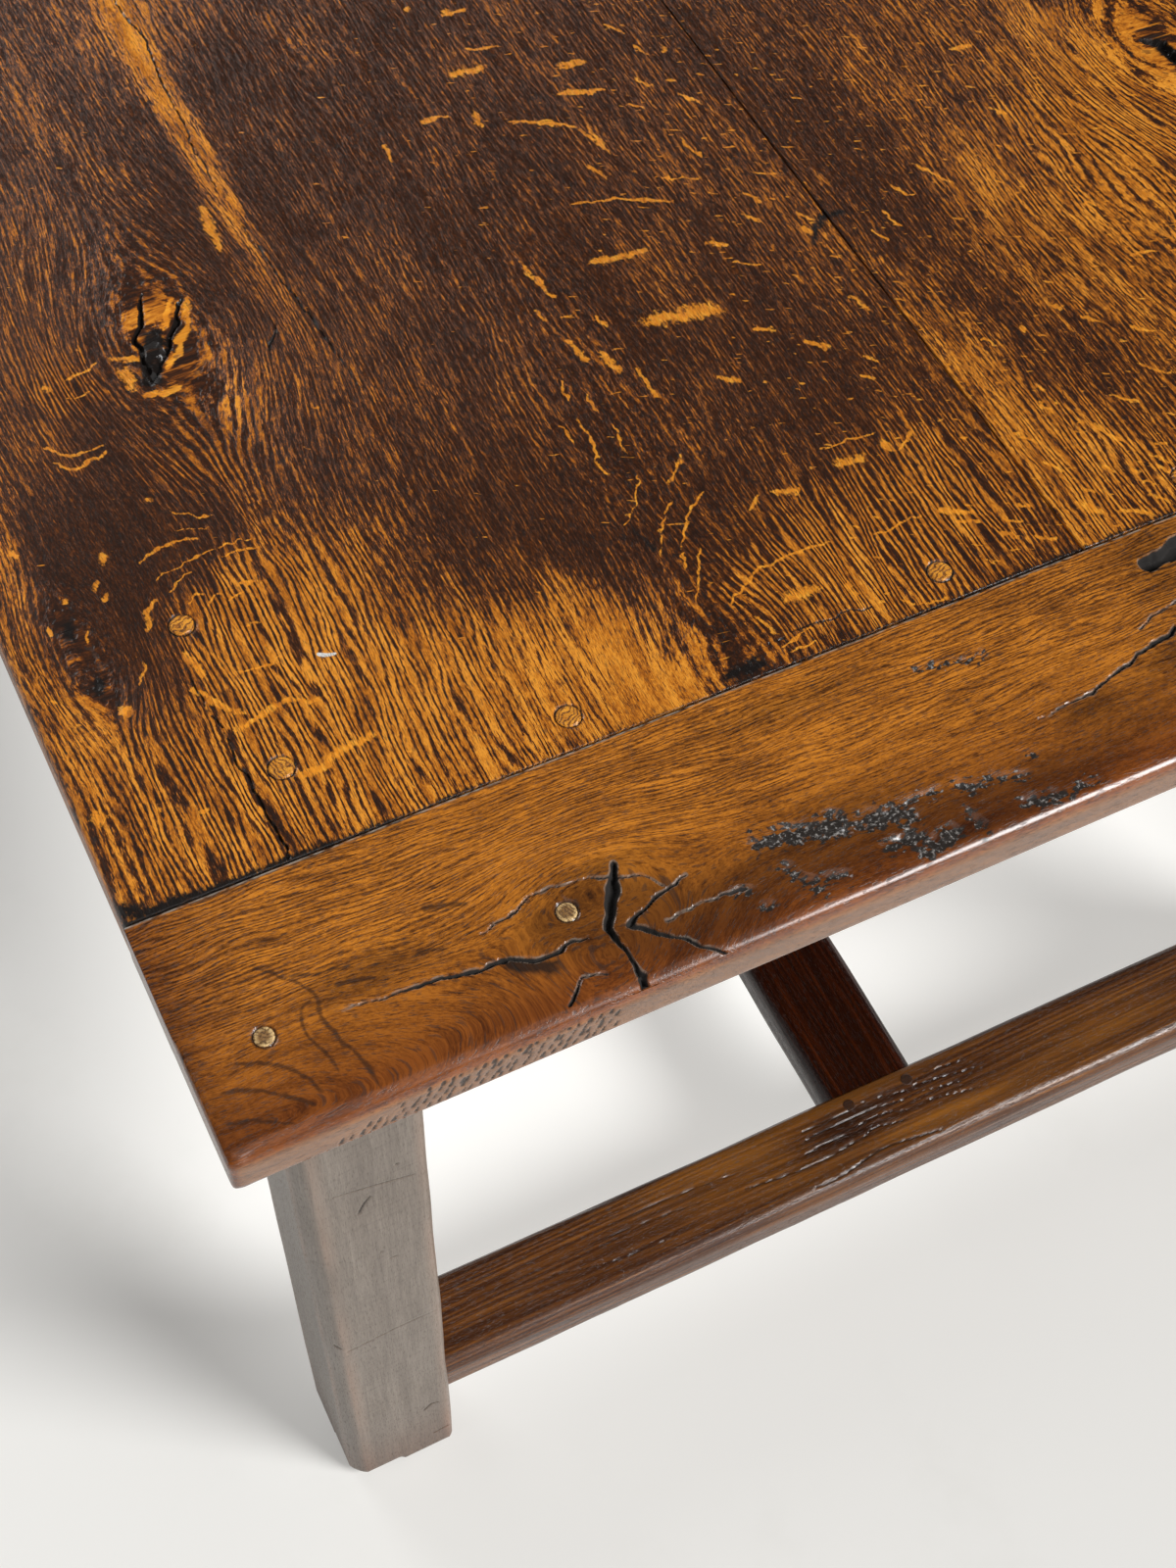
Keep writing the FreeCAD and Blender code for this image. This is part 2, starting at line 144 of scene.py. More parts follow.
bpy.ops.object.select_all(action="DESELECT")
bpy.ops.mesh.primitive_plane_add(size=FLOOR_SIZE)
floor = bpy.context.object
floor.name = "floor"
floor_paint, tree, surface = new_material("floor_paint")
spot = node(tree, "TexCoord").outputs["Object"]
scuffs = noise_at(tree, spot, detail=6.0, roughness=0.6, scale=FLOOR_SCUFFS_PER_METRE)
scuffs = fade(tree, scuffs, 0.52, 0.75)
tree.links.new(tint(tree, scuffs, FLOOR_COLOUR, FLOOR_SCUFF_COLOUR), surface.inputs["Base Color"])
surface.inputs["Roughness"].default_value = FLOOR_ROUGHNESS
place = node(tree, "SeparateXYZ", {0: spot}).outputs
# Painted light: the floor's glow is raised under the top to lift the shade there.
under = calc(
    tree,
    "MULTIPLY",
    fade(tree, calc(tree, "ABSOLUTE", place[0]), *GLOW_ACROSS),
    fade(tree, calc(tree, "ABSOLUTE", place[1]), *GLOW_ALONG),
)
glow = calc(tree, "MULTIPLY_ADD", under, FLOOR_PAINTED_LIGHT_UNDER_TOP, FLOOR_GLOW)
glow = node(tree, "Emission", {"Color": (*FLOOR_COLOUR, 1.0), "Strength": glow})
seen = node(tree, "LightPath").outputs
seen = calc(tree, "MAXIMUM", seen["Is Camera Ray"], seen["Is Glossy Ray"])
glowing = calc(tree, "MULTIPLY", seen, FLOOR_GLOW_SHARE)
mixed = node(tree, "MixShader", {0: glowing, 1: surface.outputs[0], 2: glow.outputs[0]})
tree.links.new(mixed.outputs[0], tree.nodes["Material Output"].inputs["Surface"])
floor.data.materials.append(floor_paint)

bpy.ops.object.light_add(type="SUN", location=DAYLIGHT_FROM)
daylight = bpy.context.object
daylight.name = "daylight"
daylight.data.angle = DAYLIGHT_SOFTNESS
daylight.data.energy = DAYLIGHT_STRENGTH
aim(daylight, (0.0, 0.0, 0.0))
for name, (place, target, size, power) in LAMPS.items():
    bpy.ops.object.light_add(type="AREA", location=place)
    lamp = bpy.context.object
    lamp.name = name
    lamp.data.size = size
    lamp.data.energy = power
    lamp.visible_camera = False
    aim(lamp, target)

scene = bpy.context.scene
scene.world = bpy.data.worlds.new("room")
scene.world.use_nodes = True
tree = scene.world.node_tree
room = node(tree, "Background", {"Color": (*ROOM_COLOUR, 1.0), "Strength": ROOM_STRENGTH}).outputs[0]
backdrop = node(tree, "Background", {"Color": (*FLOOR_COLOUR, 1.0), "Strength": BACKDROP_STRENGTH}).outputs[0]
seen = node(tree, "LightPath").outputs["Is Camera Ray"]
around = node(tree, "MixShader", {0: seen, 1: room, 2: backdrop}).outputs[0]
tree.links.new(around, tree.nodes["World Output"].inputs["Surface"])
scene.view_settings.view_transform = "Standard"

bpy.ops.object.camera_add(location=CAMERA_PLACE)
camera = bpy.context.object
camera.data.lens = CAMERA_LENS_MM
aim(camera, CAMERA_AIM, CAMERA_ROLL)
scene.camera = camera

# Legs: four square oak posts, planed by hand, with a broad chamfer on the outer corner.
# The rails and the end stretcher are tenoned into them, and they are darker and browner towards the foot.
LEG_STEP = 0.004
LEG_RIM = (0.0010, 0.0024, 0.0040, 0.0070, 0.0100)
LEG_OUTER_CHAMFER = 0.010
LEG_INNER_CHAMFER = 0.004
LEG_WEAR = 0.0012
LEG_COLOURS = [
    (0.00, (0.090, 0.067, 0.051)),
    (0.40, (0.146, 0.116, 0.091)),
    (0.70, (0.184, 0.149, 0.119)),
    (1.00, (0.230, 0.190, 0.154)),
]
LEG_ARRIS_COLOUR = (0.330, 0.215, 0.155)
LEG_FOOT_TINT = (0.72, 0.54, 0.45)
LEG_SCRATCH_TINT = (0.74, 0.70, 0.70)
LEG_SCAR_COLOUR = (0.030, 0.022, 0.018)
LEG_SCAR_DETAIL = 0.0014
LEG_SCAR_DEPTH = 0.0010
LEG_SCAR_SHIFT = 0.045
LEG_SCAR_MARGIN = 0.003
LEG_SCAR_SOFTNESS = 0.0008
LEG_FACE_DEPTH = 0.034
LEG_FOOT_HEIGHT = 0.06
LEG_ARRIS_WIDTH = 0.003
LEG_WEAR_SPAN = 0.05
LEG_ARRIS_SPAN = 0.04
# Shared by all the timbers: how far a stroke's value reaches, how meshes are cut, the oak's pores and drift.
STROKE_REACH = 0.012
SUBDIVIDE_LIMIT = 100
PORES_PER_METRE = 1800.0
PORES_PER_METRE_ALONG = 190.0
PORE_COLOUR = (0.008, 0.005, 0.0035)
PORE_ROUGHNESS = 0.20
OAK_SPECULAR = 0.45
OAK_RELIEF_STRENGTH = 0.6
DRIFT_REACH = 0.004
DRIFT_SPAN = 0.12
SEED_SHIFT = (1.3, 2.7, 4.1)
HASH_TURN = (127.1, 311.7, 74.7)
HASH_SCALE = 43758.5453
# Scars on a leg's end face: from its outer edge, up from the floor, half width.
LEG_SCARS = [
    [(0.019, 0.461, 0.0003), (0.042, 0.454, 0.0005), (0.066, 0.446, 0.0004)],
    [(0.032, 0.428, 0.0007), (0.036, 0.437, 0.0009), (0.040, 0.443, 0.0005)],
    [(0.0560, 0.4680, 0.0008), (0.0565, 0.4685, 0.0008)],
    [(0.0410, 0.3660, 0.0006), (0.0415, 0.3665, 0.0006)],
    [(0.045, 0.352, 0.0004), (0.050, 0.351, 0.0005)],
    [(0.003, 0.255, 0.0006), (0.008, 0.249, 0.0007)],
    [(0.012, 0.242, 0.0003), (0.040, 0.245, 0.0004), (0.070, 0.245, 0.0002)],
    [(0.055, 0.080, 0.0006), (0.060, 0.086, 0.0009), (0.065, 0.084, 0.0005)],
    [(0.060, 0.027, 0.0005), (0.070, 0.029, 0.0007)],
]


def loops(low, high, step, rim=()):
    """Places of edge loops from low to high, a step apart, with closer ones at both rims."""
    inset = rim[-1] if rim else 0.0
    count = max(1, round((high - low - 2 * inset) / step))
    parts = count + 2 * len(rim)
    # Too many parts for one cut are made in two goes, so their number has to divide by four.
    if parts > SUBDIVIDE_LIMIT:
        count += -parts % 4
    middle = np.linspace(low + inset, high - inset, count + 1)
    outer = np.array((0.0, *rim[:-1])) if rim else np.array(())
    return np.concatenate([low + outer, middle, high - outer[::-1]])


def points_of(piece):
    """The piece's vertices as rows of x, y and z."""
    spots = np.empty(len(piece.data.vertices) * 3, dtype=np.float32)
    piece.data.vertices.foreach_get("co", spots)
    return spots.reshape(-1, 3).astype(float)


def move_points(piece, spots):
    """Puts the piece's vertices in new places."""
    piece.data.vertices.foreach_set("co", np.ascontiguousarray(spots, dtype=np.float32).ravel())
    piece.data.update()


def select_only(piece, kind, chosen):
    """Selects the chosen edges or faces of a piece, and goes into edit mode on them."""
    bpy.ops.object.mode_set(mode="EDIT")
    bpy.ops.mesh.select_mode(type=kind)
    bpy.ops.mesh.select_all(action="DESELECT")
    bpy.ops.object.mode_set(mode="OBJECT")
    parts = piece.data.edges if kind == "EDGE" else piece.data.polygons
    parts.foreach_set("select", chosen)
    bpy.ops.object.mode_set(mode="EDIT")


def timber(name, x_loops, y_loops, z_loops):
    """A squared timber with its edge loops at the given places, cut from a cube."""
    bpy.ops.object.select_all(action="DESELECT")
    bpy.ops.mesh.primitive_cube_add(size=1)
    piece = bpy.context.object
    piece.name = name
    piece.data.name = name
    for axis, places in enumerate((x_loops, y_loops, z_loops)):
        parts = len(places) - 1
        for cuts in ([parts] if parts <= SUBDIVIDE_LIMIT else [parts // 4, 4]):
            ends = np.empty(len(piece.data.edges) * 2, dtype=np.int32)
            piece.data.edges.foreach_get("vertices", ends)
            pairs = points_of(piece)[ends.reshape(-1, 2)]
            select_only(piece, "EDGE", np.abs(pairs[:, 1] - pairs[:, 0]).argmax(axis=1) == axis)
            bpy.ops.mesh.subdivide(number_cuts=cuts - 1)
            bpy.ops.object.mode_set(mode="OBJECT")
        spots = points_of(piece)
        spots[:, axis] = places[np.rint((spots[:, axis] + 0.5) * parts).astype(int)]
        move_points(piece, spots)
    return piece


def soften(spots, low, high, radius, power=2.0):
    """Rounds (power 2) or chamfers (power 1) the edges of a box of points."""
    radius = np.broadcast_to(np.asarray(radius, dtype=float), (len(spots),))[:, None]
    core = np.clip(spots, np.asarray(low) + radius, np.asarray(high) - radius)
    out = spots - core
    length = (np.abs(out) ** power).sum(axis=1, keepdims=True) ** (1 / power)
    return core + out * np.minimum(1.0, radius / np.maximum(length, 1e-9))


def bumps(spots, span, seed=0.0):
    """Smooth noise from -1 to 1 at each point, with features about a span wide."""
    grid = np.asarray(spots) / span + seed * np.array(SEED_SHIFT)
    cell = np.floor(grid)
    ease = (grid - cell) ** 2 * (3.0 - 2.0 * (grid - cell))
    total = np.zeros(len(grid))
    for corner in product((0, 1), repeat=3):
        mixed = np.sin((cell + corner) @ HASH_TURN) * HASH_SCALE
        share = np.where(corner, ease, 1.0 - ease)
        total += (mixed - np.floor(mixed)) * share[:, 0] * share[:, 1] * share[:, 2]
    return 2.0 * total - 1.0


def sink(piece, depths):
    """Moves each vertex inwards by its depth."""
    normals = np.empty(len(piece.data.vertices) * 3, dtype=np.float32)
    piece.data.vertex_normals.foreach_get("vector", normals)
    move_points(piece, points_of(piece) - normals.reshape(-1, 3) * np.asarray(depths)[:, None])


def tell(piece, **fields):
    """Stores values on the piece's vertices for its material to read."""
    for name, values in fields.items():
        layer = piece.data.attributes.new(name, "FLOAT", "POINT")
        layer.data.foreach_set("value", np.ascontiguousarray(values, dtype=np.float32))


def told(tree, name):
    """A value that is stored on the piece's vertices."""
    return node(tree, "Attribute", attribute_name=name).outputs["Fac"]


def vector(tree, x, y, z):
    """A vector from three values."""
    return node(tree, "CombineXYZ", {0: x, 1: y, 2: z}).outputs[0]


def new_group(name, inputs, outputs):
    """An empty node group with its input and output sockets."""
    tree = bpy.data.node_groups.new(name, "ShaderNodeTree")
    for label in inputs:
        tree.interface.new_socket(label, in_out="INPUT", socket_type="NodeSocketFloat")
    for label in outputs:
        tree.interface.new_socket(label, in_out="OUTPUT", socket_type="NodeSocketFloat")
    return tree, tree.nodes.new("NodeGroupInput").outputs, tree.nodes.new("NodeGroupOutput").inputs


def make_oak_grain():
    """The rings of oak seen along the grain as broken streaks, their tone, and the open pores."""
    tree, given, result = new_group(
        "oak_grain",
        ["Across", "Along", "Through", "Ring Width", "Streak Length", "Amber", "Softness", "Comb"],
        ["Streak", "Tone", "Grit", "Pores"],
    )
    across = calc(tree, "DIVIDE", given["Across"], given["Ring Width"])
    through = calc(tree, "DIVIDE", given["Through"], given["Ring Width"])
    along = calc(tree, "DIVIDE", given["Along"], given["Streak Length"])

    def stretched(wide, long, detail, contrast, harshness=0.6):
        """Noise drawn out along the grain, with features so many rings wide and streaks long."""
        place = vector(
            tree,
            calc(tree, "DIVIDE", across, wide),
            calc(tree, "DIVIDE", along, long),
            calc(tree, "DIVIDE", through, wide),
        )
        raw = noise_at(tree, place, detail, harshness, 0.15)
        return calc(tree, "MULTIPLY_ADD", raw, contrast, 0.5 - 0.5 * contrast)

    wander = stretched(5.0, 3.0, 2.0, 6.0)
    rings = calc(tree, "SINE", calc(tree, "MULTIPLY", calc(tree, "ADD", across, wander), 2.0 * math.pi))
    dashes = stretched(0.50, 0.62, 4.0, 2.5, 0.72)
    fibres = stretched(0.22, 0.17, 4.0, 2.5, 0.74)
    mixed = calc(tree, "MULTIPLY", rings, given["Comb"])
    mixed = calc(tree, "MULTIPLY_ADD", dashes, 0.52, mixed)
    mixed = calc(tree, "MULTIPLY_ADD", fibres, 0.48, mixed)
    edge = fade(tree, given["Amber"], 0.0, 1.0, 0.95, 0.05)
    start = calc(tree, "SUBTRACT", edge, given["Softness"])
    end = calc(tree, "ADD", edge, given["Softness"])
    tree.links.new(fade(tree, mixed, start, end), result["Streak"])
    tree.links.new(stretched(2.4, 1.5, 4.0, 2.4), result["Tone"])
    tree.links.new(stretched(0.26, 0.12, 4.0, 2.4, 0.8), result["Grit"])
    thin = calc(tree, "MULTIPLY", given["Across"], PORES_PER_METRE)
    long = calc(tree, "MULTIPLY", given["Along"], PORES_PER_METRE_ALONG)
    deep = calc(tree, "MULTIPLY", given["Through"], PORES_PER_METRE)
    pores = noise_at(tree, vector(tree, thin, long, deep), 1.0)
    tree.links.new(fade(tree, pores, 0.57, 0.67), result["Pores"])
    return tree


def ramp(tree, level, stops):
    """A colour picked from a row of stops, each a place and a colour."""
    shade = node(tree, "ValToRGB", {0: level})
    elements = shade.color_ramp.elements
    for element, (place, colour) in zip(elements, (stops[0], stops[-1])):
        element.position = place
        element.color = (*colour, 1.0)
    for place, colour in stops[1:-1]:
        elements.new(place).color = (*colour, 1.0)
    return shade.outputs[0]


def oak(name, colours, rings, finish, dye=None):
    """A waxed oak material; dye may add stains and flecks to its colour before it is linked.

    Rings are their width, the streaks' length, the share of amber, the streaks' softness and the comb;
    the finish is the roughness, the darkness of pores, the grit of the colour and the height of the relief.
    """
    ring_width, streak_length, amber, softness, comb = rings
    rough, pore_dark, grit, relief = finish
    material, tree, surface = new_material(name)
    inputs = {"Across": told(tree, "across"), "Along": told(tree, "along"), "Through": told(tree, "through")}
    inputs.update({"Ring Width": ring_width, "Streak Length": streak_length, "Softness": softness})
    inputs["Amber"] = told(tree, "amber") if amber is None else amber
    inputs["Comb"] = told(tree, "comb") if comb is None else comb
    grain = node(tree, "Group", inputs, node_tree=oak_grain).outputs
    level = calc(tree, "MULTIPLY", grain["Streak"], calc(tree, "MULTIPLY_ADD", grain["Tone"], 0.64, 0.48))
    if amber is None:
        level = calc(tree, "MULTIPLY", level, fade(tree, told(tree, "amber"), 0.30, 0.58, 0.47, 1.0))
    least = calc(tree, "MULTIPLY", grain["Tone"], 0.18 if amber is None else 0.30)
    level = calc(tree, "MAXIMUM", level, least)
    level = calc(tree, "MULTIPLY_ADD", calc(tree, "SUBTRACT", grain["Grit"], 0.5), grit, level)
    colour = ramp(tree, level, colours)
    if dye:
        colour = dye(tree, colour, grain)
    colour = tint(tree, calc(tree, "MULTIPLY", grain["Pores"], pore_dark), colour, PORE_COLOUR)
    tree.links.new(colour, surface.inputs["Base Color"])
    surface.inputs["Specular IOR Level"].default_value = OAK_SPECULAR
    rough = calc(tree, "MULTIPLY_ADD", grain["Pores"], PORE_ROUGHNESS, rough)
    tree.links.new(rough, surface.inputs["Roughness"])
    height = calc(tree, "MULTIPLY_ADD", grain["Pores"], -0.7, calc(tree, "MULTIPLY", grain["Streak"], 0.45))
    bump = node(tree, "Bump", {"Strength": OAK_RELIEF_STRENGTH, "Distance": relief, "Height": height})
    tree.links.new(bump.outputs[0], surface.inputs["Normal"])
    return material


def straight_grain(piece, axis, seed):
    """Tells a straight timber's grain: along one axis, with the rings wandering a little."""
    spots = points_of(piece)
    others = [other for other in range(3) if other != axis]
    drift = DRIFT_REACH * bumps(spots * (1.0 - 0.85 * np.eye(3)[axis]), DRIFT_SPAN, seed)
    first, second = (spots[:, other] for other in others)
    across = first + 0.7 * second + drift + seed
    tell(piece, across=across, along=spots[:, axis], through=second - 0.7 * first + drift)


def fit(piece, name, material, sharp=35):
    """Gives a finished piece its material, and puts it in the place of its CAD node."""
    piece.data.materials.append(material)
    bpy.ops.object.select_all(action="DESELECT")
    piece.select_set(True)
    bpy.context.view_layer.objects.active = piece
    bpy.ops.object.shade_smooth_by_angle(angle=math.radians(sharp))
    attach(piece, "root")
    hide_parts(name)


def refine(piece, size, wanted, facing=(0.0, 0.0, 1.0)):
    """Halves long edges of the wanted faces that face one way until none is longer than a size."""
    while True:
        mesh = piece.data
        faces = len(mesh.polygons)
        centres = np.empty(faces * 3, dtype=np.float32)
        mesh.polygons.foreach_get("center", centres)
        normals = np.empty(faces * 3, dtype=np.float32)
        mesh.polygons.foreach_get("normal", normals)
        counts = np.empty(faces, dtype=np.int32)
        mesh.polygons.foreach_get("loop_total", counts)
        corner_edges = np.empty(len(mesh.loops), dtype=np.int32)
        mesh.loops.foreach_get("edge_index", corner_edges)
        chosen = (normals.reshape(-1, 3) @ facing > 0.9) & wanted(centres.reshape(-1, 3).astype(float))
        ends = np.empty(len(mesh.edges) * 2, dtype=np.int32)
        mesh.edges.foreach_get("vertices", ends)
        pairs = points_of(piece)[ends.reshape(-1, 2)]
        cut = np.zeros(len(mesh.edges), dtype=bool)
        cut[corner_edges[np.repeat(chosen, counts)]] = True
        cut &= np.linalg.norm(pairs[:, 1] - pairs[:, 0], axis=1) > size
        if not cut.any():
            return
        select_only(piece, "EDGE", cut)
        bpy.ops.mesh.subdivide(number_cuts=1)
        bpy.ops.object.mode_set(mode="OBJECT")


def drawn(half, path):
    """A stroke of a half width through the places of a path, bent softly and tapered at its ends."""
    points = [np.array(place) for place in path]
    for _ in range(2):
        cut = [points[0]]
        for first, second in zip(points, points[1:]):
            cut += [0.75 * first + 0.25 * second, 0.25 * first + 0.75 * second]
        points = cut + [points[-1]]
    shares = np.linspace(-1.0, 1.0, len(points))
    return [(x, y, half * (1.0 - 0.55 * share ** 4)) for (x, y), share in zip(points, shares)]


def inside_stroke(places, stroke):
    """How far each place lies inside a stroke of (across, along, half width) points; negative outside."""
    points = np.array(stroke)
    inside = np.full(len(places), -STROKE_REACH)
    low = points[:, :2].min(axis=0) - STROKE_REACH
    high = points[:, :2].max(axis=0) + STROKE_REACH
    near = ((places > low) & (places < high)).all(axis=1)
    close = places[near]
    best = inside[near]
    for start, end in zip(points, points[1:]):
        run = (end - start)[:2]
        share = np.clip(((close - start[:2]) @ run) / (run @ run), 0.0, 1.0)
        gap = np.linalg.norm(close - start[:2] - share[:, None] * run, axis=1)
        best = np.maximum(best, start[2] + (end - start)[2] * share - gap)
    inside[near] = best
    return inside


def inside_any(places, strokes):
    """How far each place lies inside the nearest of several strokes."""
    return np.max([inside_stroke(places, stroke) for stroke in strokes], axis=0)


def scaled(tree, across, along):
    """The place in the grain, counted in so many steps a metre across and along."""
    place = vector(tree, told(tree, "across"), told(tree, "along"), told(tree, "through"))
    return node(tree, "VectorMath", {0: place, 1: (across, along, across)}, operation="MULTIPLY").outputs[0]


def on_end_face(spots, outer_edge):
    """Places on the end face of a leg: from its outer edge, and up from the floor."""
    return np.column_stack([np.abs(spots[:, 0] - outer_edge), spots[:, 2]])


def leg_dye(tree, colour, grain):
    """The legs are scratched across, pinker along their worn arrises, browner at the foot, and scarred."""
    scratch = fade(tree, noise_at(tree, scaled(tree, 18.0, 420.0), 3.0, 0.6), 0.50, 0.72, 0.0, 0.6)
    colour = tint(tree, scratch, colour, LEG_SCRATCH_TINT, "MULTIPLY")
    colour = tint(tree, told(tree, "arris"), colour, LEG_ARRIS_COLOUR)
    colour = tint(tree, told(tree, "foot"), colour, LEG_FOOT_TINT, "MULTIPLY")
    return tint(tree, fade(tree, told(tree, "scar"), -0.0004, 0.0004, 0.0, 0.8), colour, LEG_SCAR_COLOUR)


oak_grain = make_oak_grain()
leg_oak = oak("leg_oak", LEG_COLOURS, (0.0040, 0.09, 0.60, 0.60, 0.05), (0.38, 0.15, 0.22, 0.0001), leg_dye)
for number, name in enumerate(("leg_near_left", "leg_near_right", "leg_far_left", "leg_far_right")):
    low, high = (np.array(corner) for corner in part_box(name))
    leg = timber(name + "_post", *(loops(low[axis], high[axis], LEG_STEP, LEG_RIM) for axis in range(3)))
    middle = (low + high) / 2
    side, end = np.sign(middle[:2])
    edge = low[0] if side < 0 else high[0]
    scars = [[(x, z + LEG_SCAR_SHIFT * number, half) for x, z, half in scar] for scar in LEG_SCARS]
    refine(
        leg,
        LEG_SCAR_DETAIL,
        lambda spots: inside_any(on_end_face(spots, edge), scars) > -LEG_SCAR_MARGIN,
        facing=(0.0, end, 0.0),
    )
    spots = points_of(leg)
    outer = ((spots - middle)[:, :2] * (side, end) > 0).all(axis=1)
    chamfer = np.where(outer, LEG_OUTER_CHAMFER, LEG_INNER_CHAMFER)
    spots = soften(spots, low, high, chamfer, power=1.25)
    move_points(leg, spots)
    facing_out = (spots[:, 1] - middle[1]) * end > LEG_FACE_DEPTH
    scarred = np.where(facing_out, inside_any(on_end_face(spots, edge), scars), -STROKE_REACH)
    depth = LEG_WEAR * (0.5 + 0.5 * bumps(spots, LEG_WEAR_SPAN, number))
    sink(leg, depth + LEG_SCAR_DEPTH * np.clip(scarred / LEG_SCAR_SOFTNESS + 0.4, 0.0, 1.0))
    straight_grain(leg, 2, 0.31 * number)
    run = np.minimum(spots - low, high - spots)[:, :2].max(axis=1)
    worn = 0.5 + 0.5 * bumps(spots, LEG_ARRIS_SPAN, number + 0.5)
    tell(
        leg,
        arris=0.7 * worn * np.exp(-(((run - 1.1 * chamfer) / LEG_ARRIS_WIDTH) ** 2)),
        foot=np.exp(-((spots[:, 2] / LEG_FOOT_HEIGHT) ** 2)),
        scar=scarred,
    )
    fit(leg, name, leg_oak)

# Stretchers: two end stretchers low between the legs, and a long one between the middles of those.
# They are oak with raised, wavy grain, worn round and shiny by feet on their upper edges.
STRETCHER_STEP = 0.0045
STRETCHER_CROSS_STEP = 0.0022
STRETCHER_RIM = (0.0008, 0.0020, 0.0035, 0.0055, 0.0080)
STRETCHER_ROUND = 0.011
STRETCHER_RIDGE = 0.00025
STRETCHER_RIDGE_WIDTH = 0.0052
STRETCHER_RIDGE_SPAN = 0.16
RIDGE_DRIFT_SPAN = 0.03
STRETCHER_WEAR = 0.0008
STRETCHER_WEAR_SPAN = 0.06
STRETCHER_LINE_DETAIL = 0.0013
STRETCHER_LINE_MARGIN = 0.003
STRETCHER_LINE_DEPTH = 0.0007
STRETCHER_LINE_SOFTNESS = 0.0008
STRETCHER_LINE_COLOUR = (0.012, 0.006, 0.004)
UPPER_BAND = 0.006
STRETCHER_COLOURS = [
    (0.00, (0.032, 0.0115, 0.0060)),
    (0.35, (0.072, 0.0250, 0.0085)),
    (0.65, (0.130, 0.0460, 0.0115)),
    (1.00, (0.240, 0.0900, 0.0170)),
]
# Painted shade: the centre stretcher, which lies in the shadow of the top, is darkened by this colour.
CENTRE_STRETCHER_PAINTED_SHADE = (0.22, 0.10, 0.05)
BURL_TINT = (0.30, 0.24, 0.28)
STRETCHER_AMBER = (0.300, 0.112, 0.0150)
# Open lines of the grain, most by the middle joint: half width, then the places that the stroke goes through,
# in metres from the outer left corner of the top as one faces that end: across, then along.
STRETCHER_LINES = [
    (0.0006, [(0.407, 0.153), (0.425, 0.154), (0.439, 0.153), (0.459, 0.154)]),
    (0.0007, [(0.405, 0.146), (0.418, 0.148), (0.438, 0.147), (0.459, 0.148), (0.484, 0.144)]),
    (0.0007, [(0.400, 0.137), (0.419, 0.139), (0.438, 0.138)]),
    (0.0006, [(0.444, 0.140), (0.452, 0.142), (0.463, 0.142), (0.483, 0.136)]),
    (0.0007, [(0.352, 0.133), (0.375, 0.130), (0.400, 0.128), (0.423, 0.129), (0.437, 0.131)]),
    (0.0007, [(0.443, 0.131), (0.454, 0.135), (0.462, 0.133), (0.479, 0.130)]),
    (0.0009, [(0.396, 0.113), (0.408, 0.112), (0.427, 0.114), (0.438, 0.117), (0.457, 0.119),
              (0.497, 0.113)]),
    (0.0005, [(0.465, 0.154), (0.490, 0.149)]),
    (0.0005, [(0.495, 0.151), (0.516, 0.148), (0.542, 0.144)]),
    (0.0005, [(0.500, 0.144), (0.530, 0.139)]),
    (0.0005, [(0.505, 0.157), (0.535, 0.153)]),
    (0.0005, [(0.498, 0.137), (0.540, 0.129)]),
    (0.0004, [(0.238, 0.143), (0.282, 0.141), (0.324, 0.137)]),
    (0.0004, [(0.205, 0.135), (0.244, 0.125), (0.287, 0.123)]),
    (0.0004, [(0.252, 0.150), (0.300, 0.150), (0.350, 0.146)]),
]
# Dark burl in the grain: across, along, reach across, reach along, depth of shade.
STRETCHER_BURL = [(0.432, 0.140, 0.036, 0.014, 1.00), (0.520, 0.146, 0.050, 0.012, 0.50)]
# Amber areas beside it: across, along, reach across, reach along, strength.
STRETCHER_AMBERS = [
    (0.350, 0.150, 0.060, 0.020, 0.45), (0.450, 0.167, 0.060, 0.007, 0.70),
    (0.500, 0.122, 0.060, 0.009, 0.60), (0.390, 0.118, 0.040, 0.009, 0.50),
    (0.640, 0.130, 0.080, 0.020, 0.30),
]


def on_top(spots):
    """Places in metres from the near left corner of the top."""
    return spots[:, :2] - np.array(cad_box[0])[:2]


def from_end(spots):
    """Places in metres from the outer left corner of the top, as one faces its nearer end."""
    places = on_top(spots)
    top_size = (np.array(cad_box[1]) - np.array(cad_box[0]))[:2]
    return np.where(spots[:, 1:2] < 0.0, places, top_size - places)


def add_areas(places, areas):
    """The sum of the amounts of soft-edged areas."""
    total = np.zeros(len(places))
    for x, y, wide, long, amount in areas:
        total += amount * np.exp(-(((places - (x, y)) / (wide, long)) ** 2).sum(axis=1))
    return total


def ridges(across, along, width, span, seed):
    """Raised grain lines from 0 to 1, a width apart, that wander along a span."""
    spots = np.column_stack([across / RIDGE_DRIFT_SPAN, along / span, np.full(len(across), seed)])
    drift = bumps(spots, 1.0)
    return 0.5 + 0.5 * np.sin(2 * math.pi * (across / width + 1.6 * drift))


def stretcher_dye(tree, colour, grain):
    """Amber areas, dark burl and open lines of the grain; the centre stretcher is darker than the others, with
    painted shade for the top's shadow over it.
    """
    colour = tint(tree, calc(tree, "MULTIPLY", told(tree, "amber"), grain["Tone"]), colour, STRETCHER_AMBER)
    colour = tint(tree, told(tree, "burl"), colour, BURL_TINT, "MULTIPLY")
    line = fade(tree, told(tree, "line"), -0.0004, 0.0003, 0.0, 0.75)
    colour = tint(tree, line, colour, STRETCHER_LINE_COLOUR)
    return tint(tree, told(tree, "shade"), colour, CENTRE_STRETCHER_PAINTED_SHADE, "MULTIPLY")


